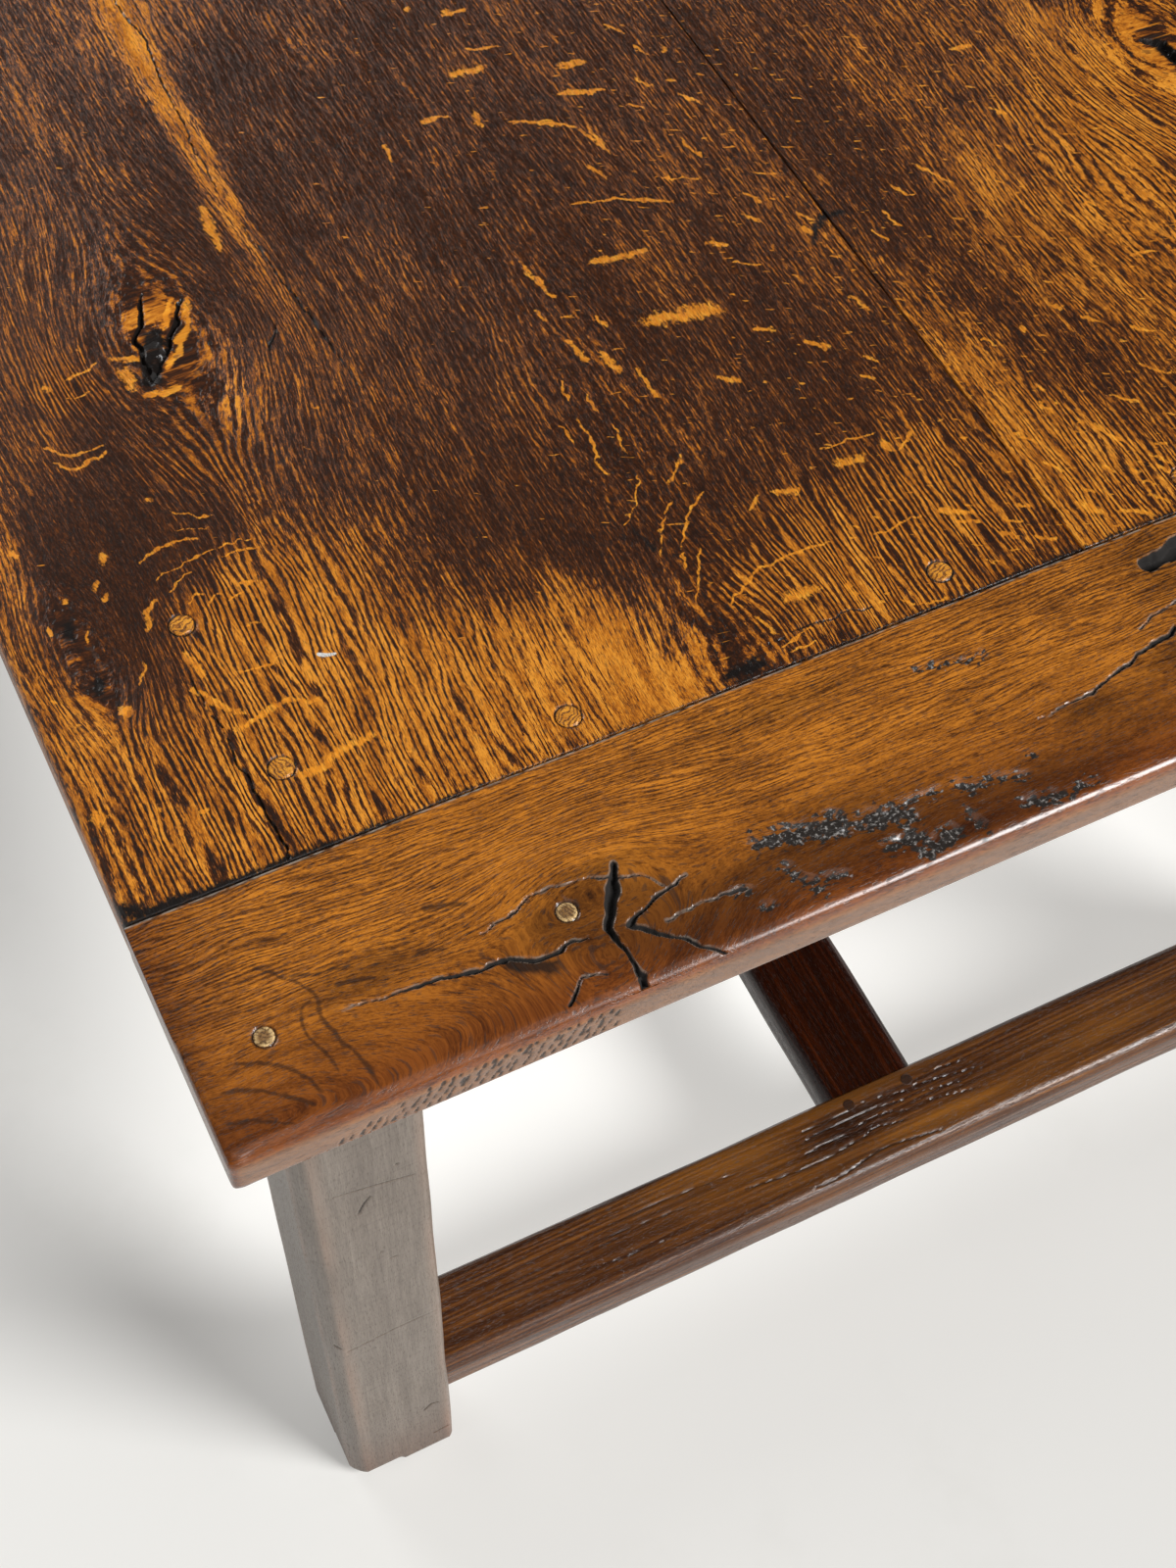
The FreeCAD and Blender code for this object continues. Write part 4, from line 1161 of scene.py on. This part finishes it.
def plank(name, areas, combs, knots, flecks, cracks, stains, seed):
    """One plank of the top with its own knots, flecks, cracks and stains."""
    low, high = (np.array(corner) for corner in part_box(name))
    near, far = (np.array(corner) for corner in (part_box("breadboard_near")[1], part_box("breadboard_far")[0]))
    low[1] = near[1] + PLANK_SEAM
    high[1] = far[1] - PLANK_SEAM
    piece = timber(name + "_board", *(loops(low[a], high[a], PLANK_STEP, PLANK_RIM) for a in range(3)))
    crack_paths = [path for path, depth in cracks]
    strokes = [drawn(half, path) for half, path in flecks]
    refine(piece, PLANK_DETAIL, lambda spots: (on_top(spots) < PLANK_SEEN).all(axis=1))
    marks = strokes + [LEFT_CHIP]
    refine(piece, FLECK_DETAIL, lambda spots: inside_any(on_top(spots), marks) > -FLECK_MARGIN)
    refine(piece, CRACK_DETAIL, lambda spots: inside_any(on_top(spots), crack_paths) > -CRACK_MARGIN)
    refine(piece, CRACK_DETAIL, lambda spots: near_peg(on_top(spots), PEG_MARGIN))
    spots = points_of(piece)
    # The long edges are rounded as if the plank ran on past its ends, and then all its edges are eased.
    rounded_low, rounded_high = low.copy(), high.copy()
    rounded_low[1] -= 1.0
    rounded_high[1] += 1.0
    arris = np.where(np.abs(spots[:, 0]) > PLANK_OUTER_FROM, PLANK_ARRIS, PLANK_JOINT_ARRIS)
    spots = soften(spots, rounded_low, rounded_high, arris)
    spots = soften(spots, low, high, PLANK_JOINT_ARRIS)
    move_points(piece, spots)
    places = on_top(spots)
    jagged = ragged(places, seed)
    upward = spots[:, 2] > high[2] - UPPER_BAND
    drift = PLANK_DRIFT * bumps(spots * (1, 0.12, 1), PLANK_DRIFT_SPAN, seed)
    across = bend_round(places[:, 0], places, knots) + drift
    depth = PLANK_WEAR * (0.5 + 0.5 * bumps(spots * (1, 0.3, 1), PLANK_WEAR_SPAN, seed))
    depth += upward * (crack_depth(jagged, cracks) + PEG_GROOVE_DEPTH * peg_rim(places))
    sink(piece, depth)
    base = PLANK_AMBER + 0.10 * bumps(spots * (1, 0.35, 1), PLANK_AMBER_SPAN, seed + 5)
    stain = np.clip(inside_any(jagged, stains) / PLANK_STAIN_SOFTNESS + 0.5, 0.0, 1.0) * 0.9
    stain = np.maximum(stain, 0.9 * peg_rim(places))
    cracked = inside_any(jagged, crack_paths)
    stain = np.maximum(stain, np.clip(cracked / CRACK_STAIN_SOFTNESS + 0.6, 0.0, 1.0))
    fine = 0.06 * bumps(spots * (1, 0.4, 1), PLANK_AMBER_FINE_SPAN, seed + 9)
    torn = ragged(places, seed, FLECK_RAGGEDNESS)
    inside = [inside_stroke(torn, stroke) / half for stroke, (half, path) in zip(strokes, flecks)]
    tell(
        piece,
        across=across + (high[2] - spots[:, 2]) + seed,
        along=places[:, 1],
        through=high[2] - spots[:, 2],
        amber=blend_areas(places, areas, base) + fine,
        comb=PLANK_COMB + add_areas(places, combs),
        fleck=np.clip(np.max(inside, axis=0), -4.0, 1.0),
        flecky=0.05 * np.clip(places[:, 0] / 0.2 - 1.5, -1.0, 0.6),
        chip=inside_stroke(jagged, LEFT_CHIP),
        stain=stain * upward,
    )
    fit(piece, name, plank_oak)


plank("plank_left", LEFT_AREAS, LEFT_COMBS, LEFT_KNOTS, LEFT_FLECKS, LEFT_CRACKS, LEFT_STAINS, 0.0)
plank("plank_right", RIGHT_AREAS, RIGHT_COMBS, RIGHT_KNOTS, RIGHT_FLECKS, RIGHT_CRACKS, RIGHT_STAINS, 1.7)

# Breadboards: the cross boards that close the ends of the planks, of paler amber-brown oak.
# Each is pegged to the tenons on the planks, and the near one has a knot, cracks and burr.
BOARD_STEP = 0.012
BOARD_RIM = (0.0006, 0.0016, 0.0030, 0.0048, 0.0070, 0.0095)
BOARD_ARRIS = 0.0075
BOARD_END_ARRIS = 0.0028
BOARD_JOINT_ARRIS = 0.0008
BOARD_ARRIS_CHANGE = 0.016
BOARD_DETAIL = 0.0032
BOARD_INNER_HALF_LENGTH = 0.94
BOARD_JOINT_LINE = 0.1192
BOARD_JOINT_WAX_WIDTH = 0.0010
BOARD_WEAR = 0.0004
BOARD_WEAR_SPAN = 0.05
BOARD_DRIFT = 0.003
BOARD_DRIFT_SPAN = 0.05
BOARD_RIPPLE = 0.0014
BOARD_RIPPLE_SPAN = 0.014
BOARD_AMBER = 0.58
BOARD_AMBER_SPAN = 0.03
BOARD_COMB = 0.17
BOARD_STAIN_SOFTNESS = 0.0016
BOARD_FACE_BAND = 0.001
BURR_MARGIN = 0.006
BURR_SOFTNESS = 0.004
BURR_PIT_DEPTH = 0.0014
BURR_GRAIN_DEPTH = 0.0005
BURR_PIT_SPAN = 0.006
BURR_GRAIN_SPAN = 0.0026
BURR_EDGE_FADE = 0.010
LINE_MARGIN = 0.003
RED_EDGE_WIDTH = 0.060
RED_END_WIDTH = 0.04
CRACK_RAGGEDNESS = 0.0007
BARK_ROWS = (0.0030, 0.0075, 0.0120, 0.0165, 0.0210)
BARK_START = 0.030
BARK_END = 0.175
BARK_ROW_INSET = 0.014
BARK_SPACING = 0.0047
BARK_DASH_LEAN = 0.0014
BARK_DASH_RISE = 0.0030
BARK_DASH_LIFT = 0.0012
BARK_DASH_HALF = 0.0011
BARK_DASH_DEPTH = 0.0006
BARK_DASH_SOFTNESS = 0.0006
BARK_DASH_COLOUR = (0.016, 0.013, 0.011)
# The grain bends round in an arch at the left of each board and runs straight beyond it.
ARCH_HEIGHT = 0.032
ARCH_LENGTH = 0.16
ARCH_MIDDLE = 0.012
ARCH_FADE = 0.10
ARCH_SLIP = 0.004
BOARD_COAT = 0.22
BOARD_COAT_ROUGHNESS = 0.14
BOARD_COLOURS = [
    (0.00, (0.054, 0.0185, 0.0050)),
    (0.35, (0.192, 0.0625, 0.0088)),
    (0.65, (0.368, 0.1200, 0.0122)),
    (1.00, (0.630, 0.2200, 0.0210)),
]
RED_TINT = (0.37, 0.29, 0.44)
FACE_COLOUR = (0.152, 0.121, 0.100)
SHADE_TINT = (0.36, 0.36, 0.46)
LINE_COLOUR = (0.030, 0.014, 0.008)
CRACK_COLOUR = (0.015, 0.0125, 0.011)
BOARD_STAIN_COLOUR = (0.012, 0.0095, 0.008)
BURR_COLOUR = (0.026, 0.021, 0.018)
# Pale crack rims: partly wax, and partly a painted highlight on the crack edges.
CRACK_RIM_WAX_AND_HIGHLIGHT_COLOUR = (0.22, 0.185, 0.15)
JOINT_WAX_COLOUR = (0.44, 0.39, 0.32)
BURR_PAINTED_GLINT_COLOUR = (0.32, 0.30, 0.28)
# Shaded areas: across, along, reach across, reach along, depth of shade.
NEAR_SHADES = [
    (0.085, 0.056, 0.035, 0.012, 0.60), (0.300, 0.102, 0.050, 0.010, 0.50),
    (0.160, 0.100, 0.030, 0.008, 0.25),
    (0.290, 0.032, 0.050, 0.022, 0.80), (0.370, 0.016, 0.050, 0.014, 0.60),
    (0.440, 0.030, 0.050, 0.018, 0.40),
    (0.178, 0.044, 0.032, 0.016, 1.00), (0.215, 0.020, 0.040, 0.018, 0.75),
    (0.000, 0.060, 0.012, 0.060, 0.45),
    (0.500, 0.100, 0.030, 0.030, 0.60), (0.020, 0.012, 0.030, 0.012, 0.35),
    (0.190, 0.062, 0.030, 0.005, 0.40),
    (0.480, 0.052, 0.030, 0.010, 0.60), (0.424, 0.044, 0.016, 0.006, 0.60),
    (0.350, 0.014, 0.040, 0.014, 0.30),
]
FAR_SHADES = [
    (0.110, 0.060, 0.050, 0.015, 0.50), (0.420, 0.090, 0.060, 0.015, 0.40),
    (0.700, 0.030, 0.080, 0.018, 0.45),
]
NEAR_KNOTS = [(0.184, 0.041, 0.050, 0.034, 1.2)]
NEAR_CRACKS = [
    ([(0.066, 0.046, 0.0003), (0.100, 0.042, 0.0009), (0.121, 0.039, 0.0012), (0.138, 0.037, 0.0012),
      (0.148, 0.033, 0.0012), (0.172, 0.033, 0.0007)], 0.0030),
    ([(0.132, 0.054, 0.0005), (0.147, 0.055, 0.0008), (0.158, 0.061, 0.0006), (0.168, 0.062, 0.0005),
      (0.180, 0.060, 0.0005), (0.192, 0.056, 0.0006), (0.207, 0.048, 0.0005),
      (0.211, 0.042, 0.0004)], 0.0020),
    ([(0.197, 0.060, 0.0014), (0.190, 0.048, 0.0026), (0.181, 0.033, 0.0022), (0.183, 0.021, 0.0010),
      (0.184, 0.008, 0.0012), (0.182, 0.000, 0.0024)], 0.0040),
    ([(0.222, 0.043, 0.0005), (0.190, 0.032, 0.0013), (0.205, 0.016, 0.0010),
      (0.220, 0.002, 0.0007)], 0.0026),
    ([(0.204, 0.026, 0.0004), (0.222, 0.027, 0.0005), (0.242, 0.026, 0.0008)], 0.0010),
    ([(0.172, 0.014, 0.0005), (0.161, 0.017, 0.0006), (0.152, 0.009, 0.0012)], 0.0016),
    ([(0.400, 0.048, 0.0004), (0.434, 0.050, 0.0008), (0.461, 0.059, 0.0010),
      (0.483, 0.063, 0.0014)], 0.0026),
    ([(0.468, 0.071, 0.0006), (0.479, 0.073, 0.0006), (0.492, 0.076, 0.0005)], 0.0012),
    ([(0.492, 0.100, 0.0040), (0.516, 0.104, 0.0060)], 0.0060),
]
# Patches of burr: the points of a stroke (across, along, half width).
NEAR_BURRS = [
    [(0.255, 0.044, 0.0030), (0.291, 0.037, 0.0065)],
    [(0.303, 0.033, 0.0045), (0.322, 0.030, 0.0050)],
    [(0.306, 0.017, 0.0025), (0.319, 0.018, 0.0045)],
    [(0.333, 0.012, 0.0050), (0.320, 0.008, 0.0045)],
    [(0.262, 0.026, 0.0020), (0.270, 0.012, 0.0022)],
    [(0.319, 0.035, 0.0012), (0.341, 0.033, 0.0014)],
    [(0.350, 0.032, 0.0022), (0.358, 0.028, 0.0030)],
    [(0.363, 0.029, 0.0014), (0.377, 0.024, 0.0016)],
    [(0.346, 0.018, 0.0016), (0.349, 0.007, 0.0018)],
    [(0.372, 0.013, 0.0028), (0.388, 0.008, 0.0030)],
    [(0.391, 0.008, 0.0024), (0.405, 0.009, 0.0012)],
    [(0.364, 0.093, 0.0010), (0.395, 0.088, 0.0010)],
    [(0.275, 0.015, 0.0014), (0.283, 0.013, 0.0014)],
    [(0.245, 0.015, 0.0010), (0.249, 0.015, 0.0012)],
    [(0.236, 0.025, 0.0010), (0.243, 0.024, 0.0012)],
    [(0.384, 0.035, 0.0008), (0.387, 0.032, 0.0010)],
]
# Wavy dark lines of figure: half width, then the places that the stroke goes through.
NEAR_LINES = [
    (0.0007, [(0.042, 0.080), (0.048, 0.074), (0.061, 0.058), (0.057, 0.046), (0.0635, 0.028),
              (0.068, 0.007)]),
    (0.0005, [(0.057, 0.055), (0.049, 0.049), (0.050, 0.041), (0.054, 0.030), (0.055, 0.021)]),
    (0.0007, [(0.020, 0.042), (0.031, 0.037), (0.039, 0.029), (0.046, 0.016)]),
    (0.0008, [(0.010, 0.031), (0.019, 0.028), (0.028, 0.024), (0.041, 0.012)]),
    (0.0006, [(0.006, 0.017), (0.015, 0.016), (0.030, 0.007)]),
    (0.0006, [(0.051, 0.071), (0.061, 0.066), (0.077, 0.063)]),
    (0.0006, [(0.068, 0.058), (0.076, 0.057), (0.085, 0.055)]),
    (0.0006, [(0.103, 0.056), (0.110, 0.055), (0.116, 0.054)]),
    (0.0010, [(0.115, 0.074), (0.123, 0.073), (0.133, 0.070)]),
]
NEAR_STAINS = [
    [(0.138, 0.035, 0.0030), (0.153, 0.027, 0.0030)],
    [(0.000, 0.1200, 0.0008), (0.940, 0.1200, 0.0008)],
]


def board_dye(tree, colour, grain):
    """Red-brown outer edge, shades, dark lines, bark dashes, burr with painted glints, cracks and wax on the
    cross boards, where the wax rims of the cracks are partly painted highlight.
    """
    uneven = calc(tree, "SUBTRACT", noise_at(tree, scaled(tree, 420.0, 200.0), 3.0), 0.5)
    colour = tint(tree, told(tree, "red"), colour, RED_TINT, "MULTIPLY")
    shade = fade(tree, calc(tree, "MULTIPLY_ADD", uneven, 0.7, told(tree, "shade")), 0.05, 0.75, 0.0, 0.85)
    colour = tint(tree, shade, colour, SHADE_TINT, "MULTIPLY")
    line = calc(tree, "MULTIPLY_ADD", uneven, 0.0020, told(tree, "line"))
    colour = tint(tree, fade(tree, line, -0.0008, 0.0004, 0.0, 0.7), colour, LINE_COLOUR)
    colour = tint(tree, calc(tree, "MULTIPLY", told(tree, "face"), 0.65), colour, FACE_COLOUR)
    dash = fade(tree, told(tree, "dash"), -0.0004, 0.0004, 0.0, 0.85)
    colour = tint(tree, dash, colour, BARK_DASH_COLOUR)
    burr = fade(tree, calc(tree, "MULTIPLY_ADD", uneven, 0.022, told(tree, "burr")), -0.0008, 0.0010)
    spot = node(tree, "TexCoord").outputs["Object"]
    # Painted highlights: pale specks over the burr stand in for glints on its pits.
    painted_burr_glints = fade(tree, noise_at(tree, spot, 3.0, 0.6, scale=560.0), 0.52, 0.70)
    colour = tint(tree, burr, colour, tint(tree, painted_burr_glints, BURR_COLOUR, BURR_PAINTED_GLINT_COLOUR))
    colour = tint(tree, told(tree, "stain"), colour, BOARD_STAIN_COLOUR)
    patchy = fade(tree, noise_at(tree, scaled(tree, 300.0, 160.0), 3.0), 0.36, 0.60)
    # Pale rims along the cracks: partly wax, and partly a painted highlight on their edges.
    rim = fade(tree, told(tree, "crack"), -0.0006, -0.0002, 0.0, 0.6)
    colour = tint(tree, calc(tree, "MULTIPLY", patchy, rim), colour, CRACK_RIM_WAX_AND_HIGHLIGHT_COLOUR)
    colour = tint(tree, calc(tree, "MULTIPLY", patchy, told(tree, "wax")), colour, JOINT_WAX_COLOUR)
    return tint(tree, fade(tree, told(tree, "crack"), -0.0001, 0.0004), colour, CRACK_COLOUR)


breadboard_oak = oak(
    "breadboard_oak",
    BOARD_COLOURS,
    rings=(0.0020, 0.024, None, 0.28, None),
    finish=(0.24, 0.50, 0.75, 0.0001),
    dye=board_dye,
)
# The wax coat wears off in the cracks and on the outer face.
board_tree = breadboard_oak.node_tree
board_surface = board_tree.nodes["Principled BSDF"]
waxed_rough = board_surface.inputs["Roughness"].links[0].from_socket
crack_rough = fade(board_tree, told(board_tree, "crack"), -0.0004, 0.0004, 0.0, 0.85)
board_tree.links.new(calc(board_tree, "MAXIMUM", waxed_rough, crack_rough), board_surface.inputs["Roughness"])
crack_coat = fade(board_tree, told(board_tree, "crack"), -0.0008, 0.0, BOARD_COAT, 0.0)
face_coat = fade(board_tree, told(board_tree, "face"), 0.2, 1.0, BOARD_COAT, 0.0)
board_tree.links.new(calc(board_tree, "MINIMUM", crack_coat, face_coat), board_surface.inputs["Coat Weight"])
board_surface.inputs["Coat Roughness"].default_value = BOARD_COAT_ROUGHNESS


def on_face(spots, underside):
    """Places on the outer face of a cross board: from its left side, and up from its underside."""
    return np.column_stack([from_end(spots)[:, 0], spots[:, 2] - underside])


def bark_dashes(seed):
    """Rows of short slanted dashes that bark left in the outer face, as strokes on that face."""
    dashes = []
    for row, height in enumerate(BARK_ROWS):
        start = BARK_START + row * BARK_ROW_INSET
        for number in range(int((BARK_END - start) / BARK_SPACING)):
            dice = np.array([(number * 1.7, row * 2.3, turn) for turn in (0.5, 4.5, 8.5)])
            slip, lift, size = bumps(dice, 1.0, seed)
            x = start + (number + 0.5 * (row % 2) + 0.4 * slip) * BARK_SPACING
            z = height + BARK_DASH_LIFT * lift
            half = BARK_DASH_HALF * (0.8 + 0.5 * size)
            dashes.append([(x, z, half), (x + BARK_DASH_LEAN, z + BARK_DASH_RISE, 0.5 * half)])
    return dashes


def breadboard(name, knots, shades, cracks, burrs, lines, stains, seed):
    """One cross board with its own knots, shades, cracks, burr, dark lines and stains."""
    low, high = (np.array(corner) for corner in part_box(name))
    piece = timber(name + "_board", *(loops(low[a], high[a], BOARD_STEP, BOARD_RIM) for a in range(3)))
    crack_paths = [path for path, depth in cracks]
    refine(piece, BOARD_DETAIL, lambda spots: np.ones(len(spots), dtype=bool))
    refine(piece, CRACK_DETAIL, lambda spots: inside_any(from_end(spots), crack_paths) > -CRACK_MARGIN)
    refine(piece, CRACK_DETAIL, lambda spots: near_peg(on_top(spots), PEG_MARGIN))
    refine(piece, FLECK_DETAIL, lambda spots: inside_any(from_end(spots), burrs) > -BURR_MARGIN)
    strokes = [drawn(half, path) for half, path in lines]
    refine(piece, FLECK_DETAIL, lambda spots: inside_any(from_end(spots), strokes) > -LINE_MARGIN)
    outward = (0.0, math.copysign(1.0, low[1]), 0.0)
    dashes = bark_dashes(seed)
    refine(
        piece,
        FLECK_DETAIL,
        lambda spots: inside_any(on_face(spots, low[2]), dashes) > -LINE_MARGIN,
        facing=outward,
    )
    spots = points_of(piece)
    inner = np.abs(spots[:, 1]) < BOARD_INNER_HALF_LENGTH
    from_side = np.minimum(spots[:, 0] - low[0], high[0] - spots[:, 0])
    from_outside = np.abs(np.abs(spots[:, 1]) - np.abs([low[1], high[1]]).max())
    outer = np.clip((from_side - from_outside) / BOARD_ARRIS_CHANGE + 0.5, 0.0, 1.0)
    arris = BOARD_END_ARRIS + (BOARD_ARRIS - BOARD_END_ARRIS) * outer
    spots = soften(spots, low, high, np.where(inner, BOARD_JOINT_ARRIS, arris))
    move_points(piece, spots)
    places = from_end(spots)
    jagged = ragged(places, seed)
    upward = spots[:, 2] > high[2] - UPPER_BAND
    rim = peg_rim(on_top(spots))
    torn = ragged(places, seed, CRACK_RAGGEDNESS)
    cracked = inside_any(torn, crack_paths)
    burr = inside_any(jagged, burrs)
    pitted = np.clip(burr / BURR_SOFTNESS + 0.6, 0.0, 1.0) * upward
    pitted *= np.clip(places[:, 1] / BURR_EDGE_FADE - 0.4, 0.0, 1.0)
    depth = BOARD_WEAR * (0.5 + 0.5 * bumps(spots * (0.4, 1, 1), BOARD_WEAR_SPAN, seed))
    depth += upward * (crack_depth(torn, cracks) + PEG_GROOVE_DEPTH * rim)
    facing_out = np.clip(1.0 - places[:, 1] / BOARD_FACE_BAND, 0.0, 1.0)
    dashed = np.where(facing_out > 0.5, inside_any(on_face(spots, low[2]), dashes), -STROKE_REACH)
    depth += BARK_DASH_DEPTH * np.clip(dashed / BARK_DASH_SOFTNESS + 0.4, 0.0, 1.0)
    pits = BURR_PIT_DEPTH * np.clip(0.4 + bumps(spots, BURR_PIT_SPAN, seed + 2), 0.0, 1.0)
    depth += pitted * (pits + BURR_GRAIN_DEPTH * (1.0 + bumps(spots, BURR_GRAIN_SPAN)))
    sink(piece, depth)
    share = np.clip(places[:, 0] / ARCH_LENGTH, 0.0, 1.0)
    arched = np.hypot(places[:, 1] - ARCH_MIDDLE, ARCH_HEIGHT * share ** 2 * (3.0 - 2.0 * share))
    straight = np.clip((places[:, 0] - ARCH_LENGTH) / ARCH_FADE, 0.0, 1.0)
    arched += straight * (places[:, 1] - ARCH_SLIP - arched)
    turned_knots = [(y, x, long, wide, pull) for x, y, wide, long, pull in knots]
    calm = [(x, y, 0.7 * wide, 0.7 * long, 0.20) for x, y, wide, long, pull in knots]
    bent = bend_round(arched, places[:, ::-1], turned_knots)
    wander = BOARD_DRIFT * bumps(spots * (0.15, 1, 1), BOARD_DRIFT_SPAN, seed)
    wander += BOARD_RIPPLE * bumps(spots * (0.6, 1, 1), BOARD_RIPPLE_SPAN, seed)
    stain = np.clip(inside_any(jagged, stains) / BOARD_STAIN_SOFTNESS + 0.5, 0.0, 1.0) * 0.9
    stain = np.maximum(stain, 0.9 * rim)
    waxed = np.clip(1.0 - np.abs(places[:, 1] - BOARD_JOINT_LINE) / BOARD_JOINT_WAX_WIDTH, 0.0, 1.0)
    edge = np.clip(1.2 - places[:, 1] / RED_EDGE_WIDTH, 0.0, 1.0)
    amber = BOARD_AMBER + 0.26 * edge + 0.08 * bumps(spots, BOARD_AMBER_SPAN, seed + 4)
    red = np.maximum(edge, 0.8 * np.clip(1.0 - places[:, 0] / RED_END_WIDTH, 0.0, 1.0))
    tell(
        piece,
        across=bent + wander + (high[2] - spots[:, 2]) + seed,
        along=places[:, 0],
        through=high[2] - spots[:, 2],
        amber=amber + add_areas(places, calm),
        burr=np.clip(burr, -0.03, 0.01),
        line=np.where(upward, inside_any(jagged, strokes), -STROKE_REACH),
        crack=np.where(upward, cracked, -STROKE_REACH),
        face=facing_out,
        red=red * (1.0 - 0.7 * facing_out),
        shade=add_areas(places, shades),
        dash=dashed,
        comb=BOARD_COMB * (1.0 - 0.5 * edge),
        stain=stain * upward,
        wax=0.8 * waxed * upward,
    )
    fit(piece, name, breadboard_oak)


breadboard("breadboard_near", NEAR_KNOTS, NEAR_SHADES, NEAR_CRACKS, NEAR_BURRS, NEAR_LINES, NEAR_STAINS, 0.4)
FAR_CRACKS = NEAR_CRACKS[6:8]
FAR_BURRS = NEAR_BURRS[6:]
FAR_LINES = NEAR_LINES[5:]
FAR_STAINS = NEAR_STAINS[1:]
breadboard("breadboard_far", [], FAR_SHADES, FAR_CRACKS, FAR_BURRS, FAR_LINES, FAR_STAINS, 2.9)

# Pegs: riven oak pins, not quite round, driven through the joints and trimmed off flush.
# The ones in the cross boards are newer and paler than the dark-rimmed ones in the planks.
PEG_SIDES = 20
# Shares of a peg's radius: the rim and the ring inside it, the bevel, and how uneven its outline is.
PEG_RIM_SHARE = 0.12
PEG_RING_SHARE = 0.40
PEG_BEVEL_SHARE = 0.10
PEG_UNEVENNESS = 0.05
PEG_COLOURS = [
    (0.00, (0.060, 0.022, 0.006)),
    (0.45, (0.450, 0.150, 0.014)),
    (1.00, (0.800, 0.340, 0.034)),
]
OLD_PEG_SHADE = (0.07, 0.05, 0.045)
PEG_CORE_TINT = (0.36, 0.28, 0.22)
PEG_SEED_STEP = 0.37
PALE_PEG_COLOURS = [
    (0.00, (0.110, 0.058, 0.020)),
    (0.45, (0.380, 0.220, 0.075)),
    (1.00, (0.800, 0.560, 0.260)),
]


def peg_dye(tree, colour, grain):
    """The pegs of the frame are darker than those in the top, and pale heads are darkest in the middle."""
    colour = tint(tree, told(tree, "shade"), colour, OLD_PEG_SHADE, "MULTIPLY")
    return tint(tree, told(tree, "core"), colour, PEG_CORE_TINT, "MULTIPLY")


PEG_FINISH = (0.34, 0.5, 0.5, 0.0003)
peg_oak = oak("peg_oak", PEG_COLOURS, (0.0022, 0.010, 0.60, 0.14, 0.3), PEG_FINISH, peg_dye)
pale_peg = oak("pale_peg", PALE_PEG_COLOURS, (0.0022, 0.010, 0.62, 0.20, 0.2), PEG_FINISH, peg_dye)


def pegs(name, slot, material, seed):
    """All the pegs of one CAD node, each with its own uneven outline, as one piece."""
    made = []
    for number, (low, high) in enumerate(peg_boxes(name)):
        size = high - low
        axis = int(size.argmax())
        radius = size.min() / 2
        bpy.ops.object.select_all(action="DESELECT")
        bpy.ops.mesh.primitive_cylinder_add(vertices=PEG_SIDES, radius=radius, depth=size[axis])
        peg = bpy.context.object
        ends = np.array([abs(face.normal.z) > 0.9 for face in peg.data.polygons])
        select_only(peg, "FACE", ends)
        bpy.ops.mesh.inset(thickness=radius * PEG_RIM_SHARE, use_individual=True)
        bpy.ops.mesh.inset(thickness=radius * PEG_RING_SHARE, use_individual=True)
        bpy.ops.object.mode_set(mode="OBJECT")
        spots = points_of(peg)
        angle = np.arctan2(spots[:, 1], spots[:, 0])
        spread = np.hypot(spots[:, 0], spots[:, 1])
        ring = np.column_stack([np.cos(angle), np.sin(angle), np.full(len(angle), seed + number)])
        spots[:, :2] *= (0.95 + PEG_UNEVENNESS * bumps(ring, 0.8, seed))[:, None]
        spots[:, 2] -= np.sign(spots[:, 2]) * np.where(spread > radius * 0.95, radius * PEG_BEVEL_SHARE, 0.0)
        turned = np.roll(spots, axis - 2, axis=1)
        move_points(peg, turned + (low + high) / 2)
        swing = 2.4 * number + seed
        across = math.cos(swing) * spots[:, 0] + math.sin(swing) * spots[:, 1]
        through = math.cos(swing) * spots[:, 1] - math.sin(swing) * spots[:, 0]
        old = "top" not in name and slot != "pale_peg"
        core = np.clip(2.6 - 3.2 * spread / radius, 0.0, 1.0)
        tell(
            peg,
            across=across + 0.1 * number + seed,
            along=spots[:, 2] + through,
            through=through,
            shade=np.full(len(spots), float(old)),
            core=core * (slot == "pale_peg"),
        )
        made.append(peg)
    bpy.ops.object.select_all(action="DESELECT")
    for peg in made:
        peg.select_set(True)
    bpy.context.view_layer.objects.active = made[0]
    if len(made) > 1:
        bpy.ops.object.join()
    piece = bpy.context.view_layer.objects.active
    piece.name = name + "_pins"
    piece.data.name = piece.name
    fit(piece, name, material)


PEG_NODES = [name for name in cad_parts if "pegs" in name]
for number, name in enumerate(sorted(PEG_NODES)):
    if name.startswith("breadboard"):
        pegs(name, "pale_peg", pale_peg, PEG_SEED_STEP * number)
    else:
        pegs(name, "peg_oak", peg_oak, PEG_SEED_STEP * number)
